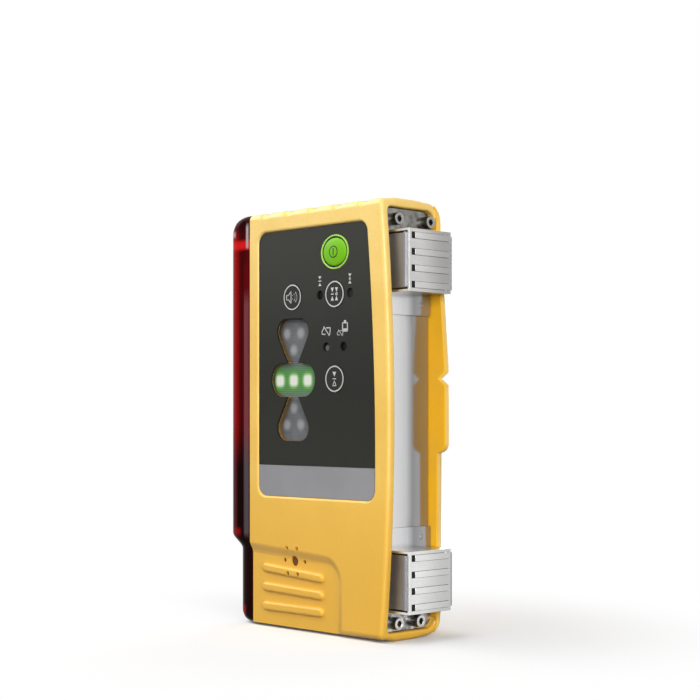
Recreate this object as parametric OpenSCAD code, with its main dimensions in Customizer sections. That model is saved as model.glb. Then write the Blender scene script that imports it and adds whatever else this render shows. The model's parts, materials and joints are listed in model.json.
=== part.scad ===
// Machine-mounted laser receiver, in millimetres.
// Housing frame: X runs to the mounting side, Y to the rear and Z up. Its zero is the
// right-hand front corner at the base, and place() moves it to the middle of the base.

/* [Housing] */
// Height that the fittings are set out in; the top and the base lie a little beyond it
body_h = 190; // [180:1:205]
// How far the top lies above that height
top_over = 2.1; // [1.5:0.1:2.5]
// How far the base lies below it
foot_over = 1.9; // [1.5:0.1:2.5]
// Width of the yellow housing, from the window seam to the right-hand corner
body_w = 88; // [84:1:96]
// Depth, front to rear
body_d = 37.5; // [36:0.5:44]
// Thickness of the front wall
front_wall = 4.2; // [4:0.1:5]
// Thickness of the rear cover
rear_wall = 3.2; // [3:0.1:4]
// Thickness of the top, bottom and left walls
side_wall = 2.6; // [2.2:0.1:3]
// Fillet along the front top and bottom edges
front_r = 3; // [2:0.5:4]
// Fillet along the rear top and bottom edges
rear_r = 7; // [5:0.5:8]
// How far the front right-hand edge bows out at mid height
edge_bow = 4.7; // [3:0.1:6]
// How far the ends of that edge lie inside the corner
edge_inset = 1.1; // [0:0.1:2]
// Number of grooves across the top
groove_n = 5; // [3:1:5]
// Distance between the grooves
groove_pitch = 16.1; // [14:0.1:17]
// Width of a groove
groove_w = 6; // [4:0.5:8]
// Depth of a groove
groove_depth = 0.9; // [0.5:0.1:1.4]
// Distance of the first groove from the corner
groove_x = 13.2; // [11:0.1:15]

/* [Side channel] */
// Depth of the channel floor behind the corner
floor_in = 6.5; // [6:0.1:8]
// Thickness of the wall under the channel floor
floor_wall = 2.2; // [1.8:0.1:3]
// How far the channel's ends lie inside the height of the fittings
channel_in = 2; // [1.8:0.1:2.6]
// Fillet in the front corners of the channel
channel_front_r = 2.5; // [1:0.5:3]
// Fillet in the rear corners of the channel
channel_rear_r = 5; // [3:0.5:6]
// How far the tab of the rear edge stands out
tab_out = 5; // [3:0.1:6]
// Distance of the tab's foot from the top
tab_foot_in = 110; // [100:1:120]
// Distance of the tab's sloped top end from the top
tab_top_in = 8; // [5:1:40]
// Width of the level notch
notch_w = 5.8; // [4:0.1:8]
// Depth of the level notch
notch_depth = 5; // [3:0.1:5]

/* [Receiving window] */
// Reach of the window left of the seam
window_out = 20.9; // [19:0.1:25]
// Corner radius of the window
window_r = 13.4; // [10:0.1:15]
// Reach of the narrow foot of the window
window_foot_out = 15.8; // [15:0.1:18]
// Corner radius of the foot
window_foot_r = 12.8; // [10:0.1:14]
// Wall of the window
window_wall = 2.2; // [1.8:0.1:2.4]
// Rounding of the top left end
window_top_r = 9; // [6:0.5:11]
// Rounding of the bottom left end
window_foot_end_r = 6; // [4:0.5:8]
// Height at which the sloped step starts
window_step_z = 33.2; // [30:0.1:36]
// Height of the sloped step
window_step_h = 7.6; // [5:0.1:9]

/* [Grip] */
// Depth of the grip recess
grip_depth = 2.1; // [1.5:0.1:2.4]
// Distance of the recess's right edge from the corner
grip_x = 27.6; // [24:0.1:32]
// Height of the recess at its left end
grip_h = 35; // [33:0.1:37]
// Fall of its top edge towards the right, in degrees
grip_fall = 3.5; // [0:0.5:5]
// Corner radius of the recess
grip_r = 10; // [6:0.5:12]
// Number of grip ribs
rib_n = 3; // [2:1:3]
// Length of a rib
rib_len = 41.5; // [36:0.5:46]
// Height of a rib
rib_h = 4.3; // [3:0.1:5]
// How far a rib stands off the recess
rib_out = 1.5; // [1:0.1:2]
// Distance between the ribs
rib_pitch = 8.35; // [7:0.05:9]
// Height of the lowest rib
rib_z = 7.9; // [6:0.1:9]
// Distance of the ribs' middle from the window seam
rib_in = 28.2; // [26:0.1:32]
// How much each rib leans more than the one below, in degrees
rib_fan = 1.9; // [0:0.1:2.5]

/* [Panel] */
// Distance of the panel's left edge from the window seam
panel_left_in = 5.8; // [4:0.1:10]
// Distance of the panel's right edge from the corner, at its widest
panel_right = 5.4; // [4.5:0.1:8]
// Distance of the grey strip's lower edge from the top
panel_foot_in = 130.5; // [128:0.5:138]
// Height of the grey strip
strip_h = 14.4; // [10:0.1:18]
// Distance of the panel's upper edge from the top
panel_top_in = 8; // [7:0.1:10]
// Corner radius of the panel
panel_r = 5; // [3:0.5:7]
// Distance of the panel's widest place from the top
panel_wide_in = 112; // [95:1:125]
// Radius of the panel's right edge
panel_edge_r = 1060; // [900:10:1400]
// Depth of the panel's face under the housing's face
panel_recess = 0.7; // [0.4:0.1:1]
// Thickness of the panel
panel_t = 1.2; // [0.8:0.1:1.5]

/* [Display] */
// Place of the display's middle across the panel, from its right-hand edge
display_share = 0.695; // [0.67:0.005:0.71]
// Distance of the display's middle and of the level notch from the top
display_in = 76.8; // [76:0.1:78]
// Width of the level bar
bar_w = 30.2; // [27:0.1:31]
// Height of the level bar
bar_h = 15.7; // [13:0.1:17]
// Width of the upper and lower lobes at their round ends
lobe_w = 21.7; // [20:0.1:23]
// Distance of a lobe's end from the middle
lobe_reach = 28.1; // [27:0.1:28.5]
// Corner radius of a lobe
lobe_r = 6; // [5:0.1:8]
// Width of a lobe where it leaves the bar
waist_w = 7.6; // [6:0.1:10]
// Depth of the display under the panel's face
display_recess = 2.5; // [1.5:0.1:2.8]
// Diameter of a lamp
lamp_d = 4; // [3:0.1:5]
// Distance between the level lamps
lamp_pitch = 9.4; // [8.5:0.1:10]

/* [Keys] */
// Width of the power button
power_w = 14.9; // [13:0.1:15.5]
// Height of the power button
power_h = 12.6; // [11:0.1:13]
// Width of the power ring
power_ring_w = 17.8; // [17.5:0.1:19]
// Height of the power ring
power_ring_h = 15.5; // [15.4:0.1:16.5]
// Width of the ring's rim
power_rim = 0.8; // [0.6:0.1:0.9]
// Distance of the power button's middle from the top
power_in = 20.2; // [18.5:0.1:21.5]
// How far the power button stands out of the housing's face
power_proud = 0.3; // [0.2:0.1:1]
// Height of the power button's dome
power_dome = 0.8; // [0.4:0.1:1.2]
// Travel of the power button
power_travel = 0.8; // [0.4:0.1:0.9]
// Diameter of a round key
key_d = 12; // [10:0.1:12.5]
// How far a round key stands out of the panel
key_proud = 0.2; // [0.1:0.1:0.5]
// Travel of a round key
key_travel = 0.5; // [0.3:0.1:0.6]
// Place of the key column across the panel, from its right-hand edge
key_share = 0.33; // [0.31:0.005:0.35]
// Distance of the sound and precision keys from the top
key_in = 39; // [38:0.1:39.8]
// Gap around a key
key_gap = 0.25; // [0.2:0.05:0.3]
// Diameter of an indicator
indicator_d = 4.3; // [3:0.1:4.5]
// Distance of the upper indicators from the key column
indicator_wide = 9.7; // [9.4:0.1:10.5]
// Distance of the lower indicators from the key column
indicator_near = 5.6; // [5:0.1:7]
// Distance of the lower indicators from the top
indicator_low_in = 62.5; // [60:0.1:64]

/* [Speaker] */
// Height of the speaker's middle
speaker_z = 30; // [28:0.1:31]
// Diameter of the middle hole
speaker_d = 4.4; // [3:0.1:5]
// Diameter of the small holes
speaker_small_d = 1.5; // [1:0.1:2]
// Number of small holes
speaker_n = 6; // [5:1:8]
// Radius of the ring of small holes
speaker_ring_r = 6.7; // [5.5:0.1:7.5]
// Diameter of the buzzer
buzzer_d = 18; // [17.5:0.5:19]
// Room between the buzzer and the battery tray
buzzer_room = 4.6; // [3:0.1:6]

/* [Magnets] */
// How far the pole faces stand out of the corner
magnet_out = 10.3; // [9:0.1:12]
// Gap between a magnet and the rear wall of the channel
magnet_rear_gap = 1.7; // [1.5:0.1:4]
// Height of a magnet face
magnet_h = 27.2; // [25:0.1:28]
// Distance of the face's near edge from the housing's face
magnet_y = 6; // [5.8:0.1:6.5]
// Foot of the lower magnet
magnet_low_z = 11; // [10.4:0.1:12]
// Distance of the upper magnet's foot from the top
magnet_high_in = 39.6; // [39:0.1:42]
// Sheet of the cover strap
strap_t = 1; // [0.8:0.1:1.2]
// Number of pole bars
pole_n = 4; // [3:1:4]
// Height of a pole bar
pole_h = 2.7; // [2:0.1:3]
// Distance between the pole bars
pole_pitch = 7.1; // [6.5:0.1:7.3]
// How far a pole bar stands out of the strap
pole_proud = 0.3; // [0.2:0.1:0.5]
// Width of the free slot beside a pole bar
pole_slot = 2; // [1:0.1:2.5]
// Thickness of the mounting plate
plate_t = 1.5; // [1:0.1:2]
// Thickness of a bracket
bracket_t = 1.5; // [1:0.1:2]
// How far a bracket reaches past its magnet towards the middle
bracket_tail = 9.2; // [7:0.1:12]
// Head diameter of a cap screw
cap_d = 5.5; // [5:0.1:6]
// Head height of a cap screw
cap_h = 3.5; // [3:0.1:4]
// Thread diameter of a cap screw
cap_thread_d = 3; // [2.5:0.5:3]
// Distance of the upper cap screws from the top
cap_top_in = 7.2; // [6.6:0.1:7.4]
// Distance of the lower cap screws from the base
cap_foot_in = 5.9; // [5.8:0.1:6.2]
// Distance of the front cap screws from the housing's face
cap_y = 10.7; // [10:0.1:12]
// Distance of the upper rear cap screw from the rear wall of the channel
cap_top_rear = 3.6; // [3.6:0.1:9]
// Distance of the lower rear cap screw from the rear wall of the channel
cap_foot_rear = 9.9; // [5:0.1:11]

/* [Batteries] */
// Number of cells, where the width has room for them
cell_n = 4; // [2:1:4]
// Diameter of a cell
cell_d = 14.5; // [13:0.1:14.5]
// Length of a cell with its tip
cell_len = 50.5; // [44:0.5:50.5]
// Height of the battery tray's foot
tray_z = 20; // [19.5:0.1:22]
// Wall of the tray
tray_wall = 1.6; // [1.2:0.1:1.8]
// Thickness of the battery cover
cover_t = 2.2; // [2:0.1:2.4]
// Height of the hinge axis
hinge_z = 14; // [13.5:0.1:14.5]
// Diameter of the hinge pin
hinge_pin_d = 1.6; // [1.2:0.1:1.8]
// Length of the hinge barrel
hinge_len = 40; // [24:1:44]
// Head diameter of the cover screw
cover_screw_d = 10; // [8:0.5:11]

/* [Hidden] */

// Facets of round shapes, of the two very large edge arcs and of a window corner
$fn = 64;
arc_fn = 1440;
arc_steps = 10;

// Small shared sizes: overrun of cuts, seat clearance and running clearance
overrun = 2;
seat = 0.1;
running = 0.05;

// Place of the housing frame: the box of the whole part stands centred on its base
total_w = window_out + body_w + magnet_out;
total_d = body_d + power_proud;
x_corner = total_w / 2 - magnet_out;
y_front = power_proud - total_d / 2;

// Housing
seam_y = body_d - rear_wall;
base_z = -foot_over;
top_z = body_h + top_over;
edge_end_h = 9;
edge_max = edge_bow - edge_inset;
edge_r = (pow(body_h / 2, 2) + pow(edge_bow, 2)) / (2 * edge_bow);
groove_r = (pow(groove_w / 2, 2) + pow(groove_depth, 2)) / (2 * groove_depth);
cavity_left = side_wall - body_w;
cavity_right = -floor_in - floor_wall;
cavity_mid = (cavity_left + cavity_right) / 2;
gasket_w = 0.7;
gasket_t = 0.8;

// Housing screws and the posts that take them
post_d = 6.5;
post_in_left = 3.9;
post_in_right = 4.8;
post_high_in = 16;
post_over = 2.6;
post_low_z = 9.5;
post_left_low_z = 10;
screw_d = 3;
screw_head_d = 5.4;
screw_head_h = 1.8;
screw_len = 14;

// Panel stack, from the front: panel, wall, display flange, baffle, board
panel_back = panel_recess + panel_t;
panel_left = body_w - panel_left_in;
panel_z = body_h - panel_foot_in;
panel_top_z = body_h - panel_top_in;
panel_wide_z = body_h - panel_wide_in;
panel_edge_x = -panel_right - panel_edge_r;
display_y = panel_recess + display_recess;
display_x = panel_right + display_share * (panel_left - panel_right);
display_z = body_h - display_in;
display_flange = 0.6;
display_flange_t = 1;
board_gap = 5.2;
board_t = 1.6;
board_y = front_wall + board_gap;
board_left_in = 11;
board_left = body_w - board_left_in;
board_right = 17.5;
board_foot_in = 110;
board_foot_z = body_h - board_foot_in;
board_top_in = 8.5;
board_top_z = body_h - board_top_in;
board_hole_in = 4;
board_post_d = 5.5;
board_screw_d = 2.5;
board_screw_len = 4;
board_screw_head_d = 4.6;
board_screw_head_h = 1.6;
board_places = [
    for (x = [-board_left + board_hole_in, -board_right - board_hole_in])
    for (z = [board_foot_z + board_hole_in, board_top_z - board_hole_in]) [x, z]
];
lamp_h = 3.4;
lamp_pair = 9.5;
lamp_outer = 21;
lamp_inner = 13.3;
baffle_gap = 0.3;

// Keys and the switches behind them
key_x = panel_right + key_share * (panel_left - panel_right);
key_z = body_h - key_in;
power_z = body_h - power_in;
indicator_low_z = body_h - indicator_low_in;
key_lip = 0.7;
key_lip_t = 1;
key_lip_gap = 0.1;
key_stem_d = 4;
switch_w = 6;
switch_tip_d = 3.4;
switch_tip_h = 0.6;
switch_h = 2.8;
switch_y = board_y - switch_h;
press_gap = 0.1;
indicator_recess = 0.9;
indicator_collar = 0.5;
indicator_collar_t = 1;

// Speaker
mesh_t = 0.4;
buzzer_ring_t = 1.4;
buzzer_ring_h = 5;

// Receiving window and what stands in it
rim_seat = 1.2;
end_shares = [0, 0.02, 0.08, 0.17, 0.3, 0.45, 0.7, 1];
carrier_gap = 0.5;
carrier_t = 2;
carrier_in = 3;
carrier_rib = 7;
carrier_rib_w = 11;
sensor_foot_z = 46;
sensor_top_in = 12;
sensor_board_w = 19;
diode_w = 5;
diode_h = 9;
diode_t = 1.8;
diode_pitch = 12.6;
diode_n = floor((body_h - sensor_top_in - sensor_foot_z) / diode_pitch);

// Magnets: from the face backwards come the bars, the strap, the block's flange and the bracket
plate_x = plate_t - floor_in;
bracket_x = plate_x + bracket_t;
strap_x = magnet_out - pole_proud;
flange_t = 1.6;
flange_x = strap_x - strap_t - flange_t;
flange_out = 1.1;
flange_rear = 2;
pad_t = 0.7;
pad_in = 0.4;
sheet_pad_t = 0.4;
block_in = 0.5;
pole_margin_in = 1.6;
pole_margin_out = 1.4;
plate_gap = 0.4;
cap_len = 10;
cap_post_d = 6.5;
cap_post_len = 5;
hex_w = 2.5;
hex_depth = 1.8;
rivet_d = 2;
rivet_head_d = 2.6;
rivet_head_h = 0.4;
rivet_in = 4.6;
rivet_rear = 6.3;
rivet_y = seam_y - rivet_rear;
magnet_w = seam_y - magnet_rear_gap - magnet_y;
magnet_high_z = body_h - magnet_high_in;
cap_places = [
    [cap_y, body_h - cap_top_in], [seam_y - cap_top_rear, body_h - cap_top_in],
    [cap_y, cap_foot_in], [seam_y - cap_foot_rear, cap_foot_in]
];
rivet_places = [
    [rivet_y, magnet_high_z - bracket_tail + rivet_in],
    [rivet_y, magnet_low_z + magnet_h + bracket_tail - rivet_in]
];

// Batteries: tray, cells and contacts, and the ledge under the cover's rim
ledge_w = 3;
cover_gap = 0.3;
cell_gap = 0.5;
cell_pitch = cell_d + cell_gap;
cell_tip_d = 5.5;
cell_tip_h = 1;
contact_t = 0.6;
contact_w = 9;
spring_len = 4.5;
spring_d = 8;
spring_tip_d = 4;
tray_room = cavity_right - cavity_left - 2 * (ledge_w + cover_gap);
cells_fit = min(cell_n, floor((tray_room - cell_gap) / cell_pitch));
tray_in_w = cells_fit * cell_pitch + cell_gap;
tray_in_h = cell_len + spring_len + 2 * contact_t;
tray_w = tray_in_w + 2 * tray_wall;
tray_h = tray_in_h + 2 * tray_wall;
tray_depth = cell_d + 2 * cell_gap;
tray_y = seam_y - tray_depth - tray_wall;
buzzer_h = tray_y - buzzer_room - front_wall - mesh_t;
cell_y = seam_y - tray_depth / 2;
cell_z = tray_z + tray_wall + contact_t;

// Battery cover: plate in a pocket of the rear cover, hinge at its foot, captive screw at its head
cover_y = body_d - cover_t;
seal_t = 0.7;
pocket_w = tray_in_w + 2 * ledge_w;
screw_tab = 13;
pocket_top_z = tray_z + tray_h + screw_tab;
cover_r = 2.5;
hinge_in = 1.9;
hinge_y = body_d - hinge_in;
barrel_r = 1.6;
trough_r = 3.2;
trough_wall = 1.4;
trough_top = 4.2;
pocket_foot = 3.8;
pocket_foot_z = hinge_z + pocket_foot;
cover_foot_gap = 0.6;
pin_seat = 3;
cover_screw_z = tray_z + tray_h + screw_tab / 2 + cover_gap;
cover_head_t = 1.3;
cover_shank_d = 4;
cover_shank_len = 8;
cover_bore_gap = 0.7;
cover_boss_d = 9;
cover_boss_len = 7.5;
coin_slot_w = 1.6;
coin_slot_depth = 0.8;

// Places of the housing screws; the middle pair clears the battery cover
post_mid_z = pocket_top_z + post_over;
post_places = [
    [cavity_left + post_in_left, post_left_low_z],
    [cavity_left + post_in_left, post_mid_z],
    [cavity_left + post_in_left, body_h - post_left_low_z],
    [cavity_right - post_in_right, post_low_z],
    [cavity_right - post_in_right, post_mid_z],
    [cavity_right - post_in_right, body_h - post_high_in]
];

module place() translate([x_corner, y_front, foot_over]) children();

// A flat outline in X and Z, given depth from y0 to y1
module deep(y0, y1) translate([0, y1, 0]) rotate([90, 0, 0]) linear_extrude(y1 - y0) children();

// A flat outline in Y and Z, given width from x0 to x1
module wide(x0, x1) translate([x0, 0, 0]) rotate([90, 0, 90]) linear_extrude(x1 - x0) children();

module box(from, to) translate(from) cube(to - from);

// A round bar along Y at a place in X and Z, and one along X at a place in Y and Z
module bar_y(at, y0, y1, d) deep(y0, y1) translate(at) circle(d = d);
module bar_x(at, x0, x1, d) wide(x0, x1) translate(at) circle(d = d);

// What a corner of radius r loses outside its arc; sx and sz point to the corner
module corner_cut(at, r, sx, sz) {
    side = r + overrun;
    difference() {
        translate([at[0] + (sx < 0 ? -side : 0), at[1] + (sz < 0 ? -side : 0)]) square(side);
        translate(at) circle(r);
    }
}

// A rectangle whose corners have their own radii, from the low corner round to the left high one
module round_rect(low, high, radii) {
    difference() {
        translate(low) square(high - low);
        corner_cut([low[0] + radii[0], low[1] + radii[0]], radii[0], -1, -1);
        corner_cut([high[0] - radii[1], low[1] + radii[1]], radii[1], 1, -1);
        corner_cut([high[0] - radii[2], high[1] - radii[2]], radii[2], 1, 1);
        corner_cut([low[0] + radii[3], high[1] - radii[3]], radii[3], -1, 1);
    }
}

// A bar with half-round ends
module oblong(size) {
    straight = size[0] - size[1];
    square([straight, size[1]], center = true);
    for (s = [-1, 1]) translate([s * straight / 2, 0]) circle(d = size[1]);
}

// Side outline of the housing, in Y and Z
module body_side() {
    round_rect([0, base_z], [body_d, top_z], [front_r, rear_r, rear_r, front_r]);
}

// Front outline of the shell, with the bowed right-hand edge; it runs past the other three sides
module shell_front() {
    intersection() {
        translate([-body_w - overrun, base_z - overrun])
            square([body_w + edge_bow + overrun, top_z - base_z + 2 * overrun]);
        translate([edge_max - edge_r, body_h / 2]) circle(edge_r, $fn = arc_fn);
    }
}

// Front outline of the rear cover, with the tab and the level notch on its right-hand edge
module cover_front() {
    half = notch_w / 2;
    tab_z = body_h - tab_foot_in;
    polygon([
        [-body_w, base_z], [-edge_inset, base_z], [0, edge_end_h], [0, tab_z], [tab_out, tab_z + tab_out],
        [tab_out, display_z - half], [tab_out - notch_depth, display_z], [tab_out, display_z + half],
        [0, body_h - tab_top_in], [-edge_inset, top_z], [-body_w, top_z]
    ]);
}

// Section of the side channel, drawn in by a gap all round
module channel_side(gap) {
    front = channel_front_r;
    rear = channel_rear_r;
    round_rect([front_wall + gap, channel_in + gap], [seam_y - gap, body_h - channel_in - gap],
               [front, rear, rear, front]);
}

// Outline of the whole panel, drawn in by a gap all round
module panel_outline(gap) {
    r = panel_r - gap;
    edge = panel_edge_r - gap;
    low = panel_z + gap;
    high = panel_top_z - gap;
    left = gap - panel_left;
    centres = [for (z = [low + r, high - r]) sqrt(pow(edge - r, 2) - pow(z - panel_wide_z, 2))];
    difference() {
        intersection() {
            translate([left, low]) square([panel_left, high - low]);
            translate([panel_edge_x, panel_wide_z]) circle(edge, $fn = arc_fn);
        }
        corner_cut([left + r, low + r], r, -1, -1);
        corner_cut([left + r, high - r], r, -1, 1);
        corner_cut([panel_edge_x + centres[0], low + r], r, 1, -1);
        corner_cut([panel_edge_x + centres[1], high - r], r, 1, 1);
    }
}

// Point at which a straight side from a corner touches a circle
function touch(at, r, from) =
    let(way = from - at, a = atan2(way[1], way[0]) + acos(r / norm(way))) at + r * [cos(a), sin(a)];

// A lobe of the display, from its middle upwards, grown by a margin
module lobe(grow) {
    r = lobe_r + grow;
    half = waist_w / 2 + grow;
    at = [lobe_w / 2 - lobe_r, lobe_reach - lobe_r];
    side = touch(at, r, [half, bar_h / 2]);
    polygon([
        [half, 0], [half, bar_h / 2], side, [at[0], at[1] + r],
        [-at[0], at[1] + r], [-side[0], side[1]], [-half, bar_h / 2], [-half, 0]
    ]);
    for (s = [-1, 1]) translate([s * at[0], at[1]]) circle(r);
}

// Outline of the display: the level bar and its two lobes, grown by a margin
module display_outline(grow) {
    translate([-display_x, display_z]) {
        oblong([bar_w + 2 * grow, bar_h + 2 * grow]);
        for (turn = [0, 180]) rotate(turn) lobe(grow);
    }
}

// Recess for the fingers at the lower left of the front
module grip_outline() {
    drop = tan(grip_fall);
    corner_x = -grip_x - grip_r;
    corner_z = grip_h - drop * (body_w + corner_x) - grip_r + running;
    difference() {
        polygon([
            [-body_w - overrun, base_z - overrun], [-grip_x, base_z - overrun],
            [-grip_x, grip_h - drop * (body_w - grip_x)], [-body_w - overrun, grip_h + drop * overrun]
        ]);
        corner_cut([corner_x, corner_z], grip_r, 1, 1);
    }
}

module grip_ribs() {
    for (i = [0 : rib_n - 1])
        deep(grip_depth - rib_out, grip_depth + rib_out / 2)
            translate([rib_in - body_w, rib_z + i * rib_pitch]) rotate(-i * rib_fan)
                oblong([rib_len, rib_h]);
}

module speaker_holes() {
    translate([-display_x, speaker_z]) {
        circle(d = speaker_d);
        for (i = [0 : speaker_n - 1])
            rotate(i * 360 / speaker_n) translate([speaker_ring_r, 0]) circle(d = speaker_small_d);
    }
}

// Places of the keys and indicators in X and Z
sound_at = [-display_x, key_z];
precision_at = [-key_x, key_z];
zero_at = [-key_x, display_z];
power_at = [-key_x, power_z];
key_places = [sound_at, precision_at, zero_at];
indicator_places = [
    [-key_x - indicator_wide, key_z], [-key_x + indicator_wide, key_z],
    [-key_x - indicator_near, indicator_low_z], [-key_x + indicator_near, indicator_low_z]
];

// Openings that the keys and indicators need in the panel and the wall
module control_openings() {
    translate(power_at) oblong([power_w + 2 * key_gap, power_h + 2 * key_gap]);
    for (at = key_places) translate(at) circle(d = key_d + 2 * key_gap);
    for (at = indicator_places) translate(at) circle(d = indicator_d);
}

// Grooves across the top of the housing
module top_grooves() {
    for (i = [0 : groove_n - 1])
        bar_y([-groove_x - i * groove_pitch, top_z + groove_r - groove_depth],
              -overrun, body_d + overrun, 2 * groove_r);
}

module shell_posts() {
    for (at = post_places) bar_y(at, front_wall, seam_y, post_d);
    for (at = board_places) bar_y(at, front_wall, board_y, board_post_d);
    for (at = cap_places)
        bar_x(at, cavity_right - cap_post_len, cavity_right + floor_wall, cap_post_d);
    deep(front_wall, front_wall + buzzer_ring_h) translate([-display_x, speaker_z]) difference() {
        circle(d = buzzer_d + 2 * (seat + buzzer_ring_t));
        circle(d = buzzer_d + 2 * seat);
    }
}

module front_shell() {
    color("gold") place() difference() {
        union() {
            difference() {
                intersection() {
                    wide(-body_w, edge_bow) body_side();
                    deep(-overrun, seam_y) shell_front();
                }
                box([cavity_left, front_wall, side_wall],
                    [cavity_right, body_d, body_h - side_wall]);
                wide(-floor_in, edge_bow + overrun) channel_side(0);
                deep(-overrun, panel_back) panel_outline(0);
                deep(-overrun, grip_depth) grip_outline();
            }
            grip_ribs();
            shell_posts();
        }
        deep(-overrun, front_wall + overrun) display_outline(0);
        deep(-overrun, front_wall + overrun) control_openings();
        deep(-overrun, front_wall + seat) speaker_holes();
        top_grooves();
        for (at = post_places) bar_y(at, seam_y - screw_len, seam_y + overrun, screw_d + 2 * running);
        for (at = board_places)
            bar_y(at, board_y - board_screw_len, board_y + overrun, board_screw_d + 2 * running);
        for (at = cap_places)
            bar_x(at, cavity_right - cap_post_len - overrun, overrun, cap_thread_d + 2 * running);
        for (at = rivet_places) bar_x(at, cavity_right - overrun, overrun, rivet_d + 2 * running);
        gasket_space();
    }
}

// Space of the gasket inside the open edge of the shell
module gasket_space() {
    box([cavity_left - gasket_w, seam_y - gasket_t, side_wall - gasket_w],
        [cavity_right + gasket_w, seam_y, body_h - side_wall + gasket_w]);
}

module housing_gasket() {
    color("dimgray") place() difference() {
        gasket_space();
        box([cavity_left, front_wall, side_wall], [cavity_right, body_d, body_h - side_wall]);
    }
}

// Outline of the battery cover's pocket, drawn in by a gap at the sides and head and one at the foot
module pocket_outline(gap, foot_gap) {
    r = cover_r;
    round_rect([cavity_mid - pocket_w / 2 + gap, pocket_foot_z + foot_gap],
               [cavity_mid + pocket_w / 2 - gap, pocket_top_z - gap], [r, r, r, r]);
}

// Opening over the cells, drawn in by a gap
module tray_opening(gap) {
    low = tray_z + tray_wall + gap;
    translate([cavity_mid - tray_in_w / 2 + gap, low])
        square([tray_in_w - 2 * gap, tray_in_h - 2 * gap]);
}

module hinge_trough(len, top, grow) {
    y0 = hinge_y - barrel_r - cover_gap - grow;
    box([cavity_mid - len / 2 - grow, y0, hinge_z - trough_r - grow],
        [cavity_mid + len / 2 + grow, top, hinge_z + trough_top + grow]);
}

module rear_cover() {
    trough_len = hinge_len + 2 * cover_gap;
    screw_at = [cavity_mid, cover_screw_z];
    joined_y = seam_y + rear_wall / 4;
    color("goldenrod") place() difference() {
        union() {
            intersection() {
                wide(-body_w, tab_out) body_side();
                deep(seam_y, body_d) cover_front();
            }
            hinge_trough(trough_len + 2 * pin_seat, joined_y, trough_wall);
            bar_y(screw_at, seam_y - cover_boss_len, joined_y, cover_boss_d);
        }
        deep(cover_y, body_d + overrun) pocket_outline(0, 0);
        deep(seam_y - overrun, body_d) tray_opening(0);
        hinge_trough(trough_len, body_d + overrun, 0);
        bar_x([hinge_y, hinge_z], cavity_mid - hinge_len / 2 - pin_seat,
              cavity_mid + hinge_len / 2 + pin_seat, hinge_pin_d + 2 * running);
        bar_y(screw_at, seam_y - cover_boss_len - overrun, body_d, cover_shank_d + 2 * cover_bore_gap);
        top_grooves();
        for (at = post_places) {
            bar_y(at, seam_y - overrun, body_d, screw_d + 2 * running);
            bar_y(at, body_d - screw_head_h, body_d + overrun, screw_head_d + 2 * seat);
        }
    }
}

module housing_screws() {
    color("silver") place() for (at = post_places) {
        bar_y(at, seam_y - screw_len + seat, body_d - screw_head_h, screw_d);
        difference() {
            bar_y(at, body_d - screw_head_h, body_d - seat, screw_head_d);
            deep(body_d - screw_head_h / 2, body_d) translate(at) circle(d = hex_w, $fn = 6);
        }
    }
}

// How far a rounding of radius r has drawn in at height z near an end at z_end
function drawn_in(z, z_end, r) =
    let(over = max(r - abs(z_end - z), 0)) r - sqrt(r * r - over * over);

// Points of an arc in the plane, from angle a0 to a1
function arc_points(at, r, a0, a1) = [
    for (i = [0 : arc_steps]) let(a = a0 + (a1 - a0) * i / arc_steps) at + r * [cos(a), sin(a)]
];

// One level outline of the window: two round left-hand corners and a straight end near the seam
function window_ring(z, end_x, reach, full_r, front, rear) =
    let(r = min(full_r, reach - overrun), x = r - body_w - reach)
    let(left = concat(arc_points([x, front + r], r, 270, 180), arc_points([x, rear - r], r, 180, 90)))
    [for (p = concat([[end_x, front]], left, [[end_x, rear]])) [p[0], p[1], z]];

// Outlines round the foot's end, drawn in by a wall thickness, from the base upwards
function foot_rings(wall, end_x) = [
    for (share = end_shares)
    let(foot = base_z + wall, z = foot + window_foot_end_r * share, reach = window_foot_out - wall)
    window_ring(z, end_x, reach - drawn_in(z, foot, window_foot_end_r), window_foot_r - wall,
                grip_depth + wall + drawn_in(z, foot, front_r), body_d - wall - drawn_in(z, foot, rear_r))
];

// Outlines round the top end, drawn in by a wall thickness, from the top downwards
function top_rings(wall, end_x) = [
    for (share = end_shares)
    let(top = top_z - wall, z = top - window_top_r * share, reach = window_out - wall)
    window_ring(z, end_x, reach - drawn_in(z, top, window_top_r), window_r - wall,
                wall + drawn_in(z, top, front_r), body_d - wall - drawn_in(z, top, rear_r))
];

// The window's solid, drawn in by a wall thickness: foot, sloped step and body
module window_solid(wall) {
    end_x = (wall > 0 ? overrun : 0) - body_w;
    high = top_rings(wall, end_x);
    rings = concat(
        foot_rings(wall, end_x),
        [window_ring(window_step_z, end_x, window_foot_out - wall, window_foot_r - wall,
                     grip_depth + wall, body_d - wall)],
        [window_ring(window_step_z + window_step_h, end_x, window_out - wall, window_r - wall,
                     wall, body_d - wall)],
        [for (i = [len(high) - 1 : -1 : 0]) high[i]]
    );
    n = len(rings[0]);
    last = (len(rings) - 1) * n;
    sides = [
        for (k = [0 : len(rings) - 2]) for (i = [0 : n - 1])
        let(a = k * n + i, b = k * n + (i + 1) % n) each [[a, b, b + n], [a, b + n, a + n]]
    ];
    ends = [[for (i = [n - 1 : -1 : 0]) i], [for (i = [0 : n - 1]) last + i]];
    polyhedron(points = [for (ring = rings) each ring], faces = concat(ends, sides));
}

// The window's rim at the seam, in Y and Z, drawn in by a wall thickness
module window_rim(wall) {
    polygon([
        [grip_depth + wall, base_z + front_r], [grip_depth + front_r, base_z + wall],
        [body_d - rear_r, base_z + wall], [body_d - wall, base_z + rear_r],
        [body_d - wall, top_z - rear_r], [body_d - rear_r, top_z - wall],
        [front_r, top_z - wall], [wall, top_z - front_r],
        [wall, window_step_z + window_step_h], [grip_depth + wall, window_step_z]
    ]);
}

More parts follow.
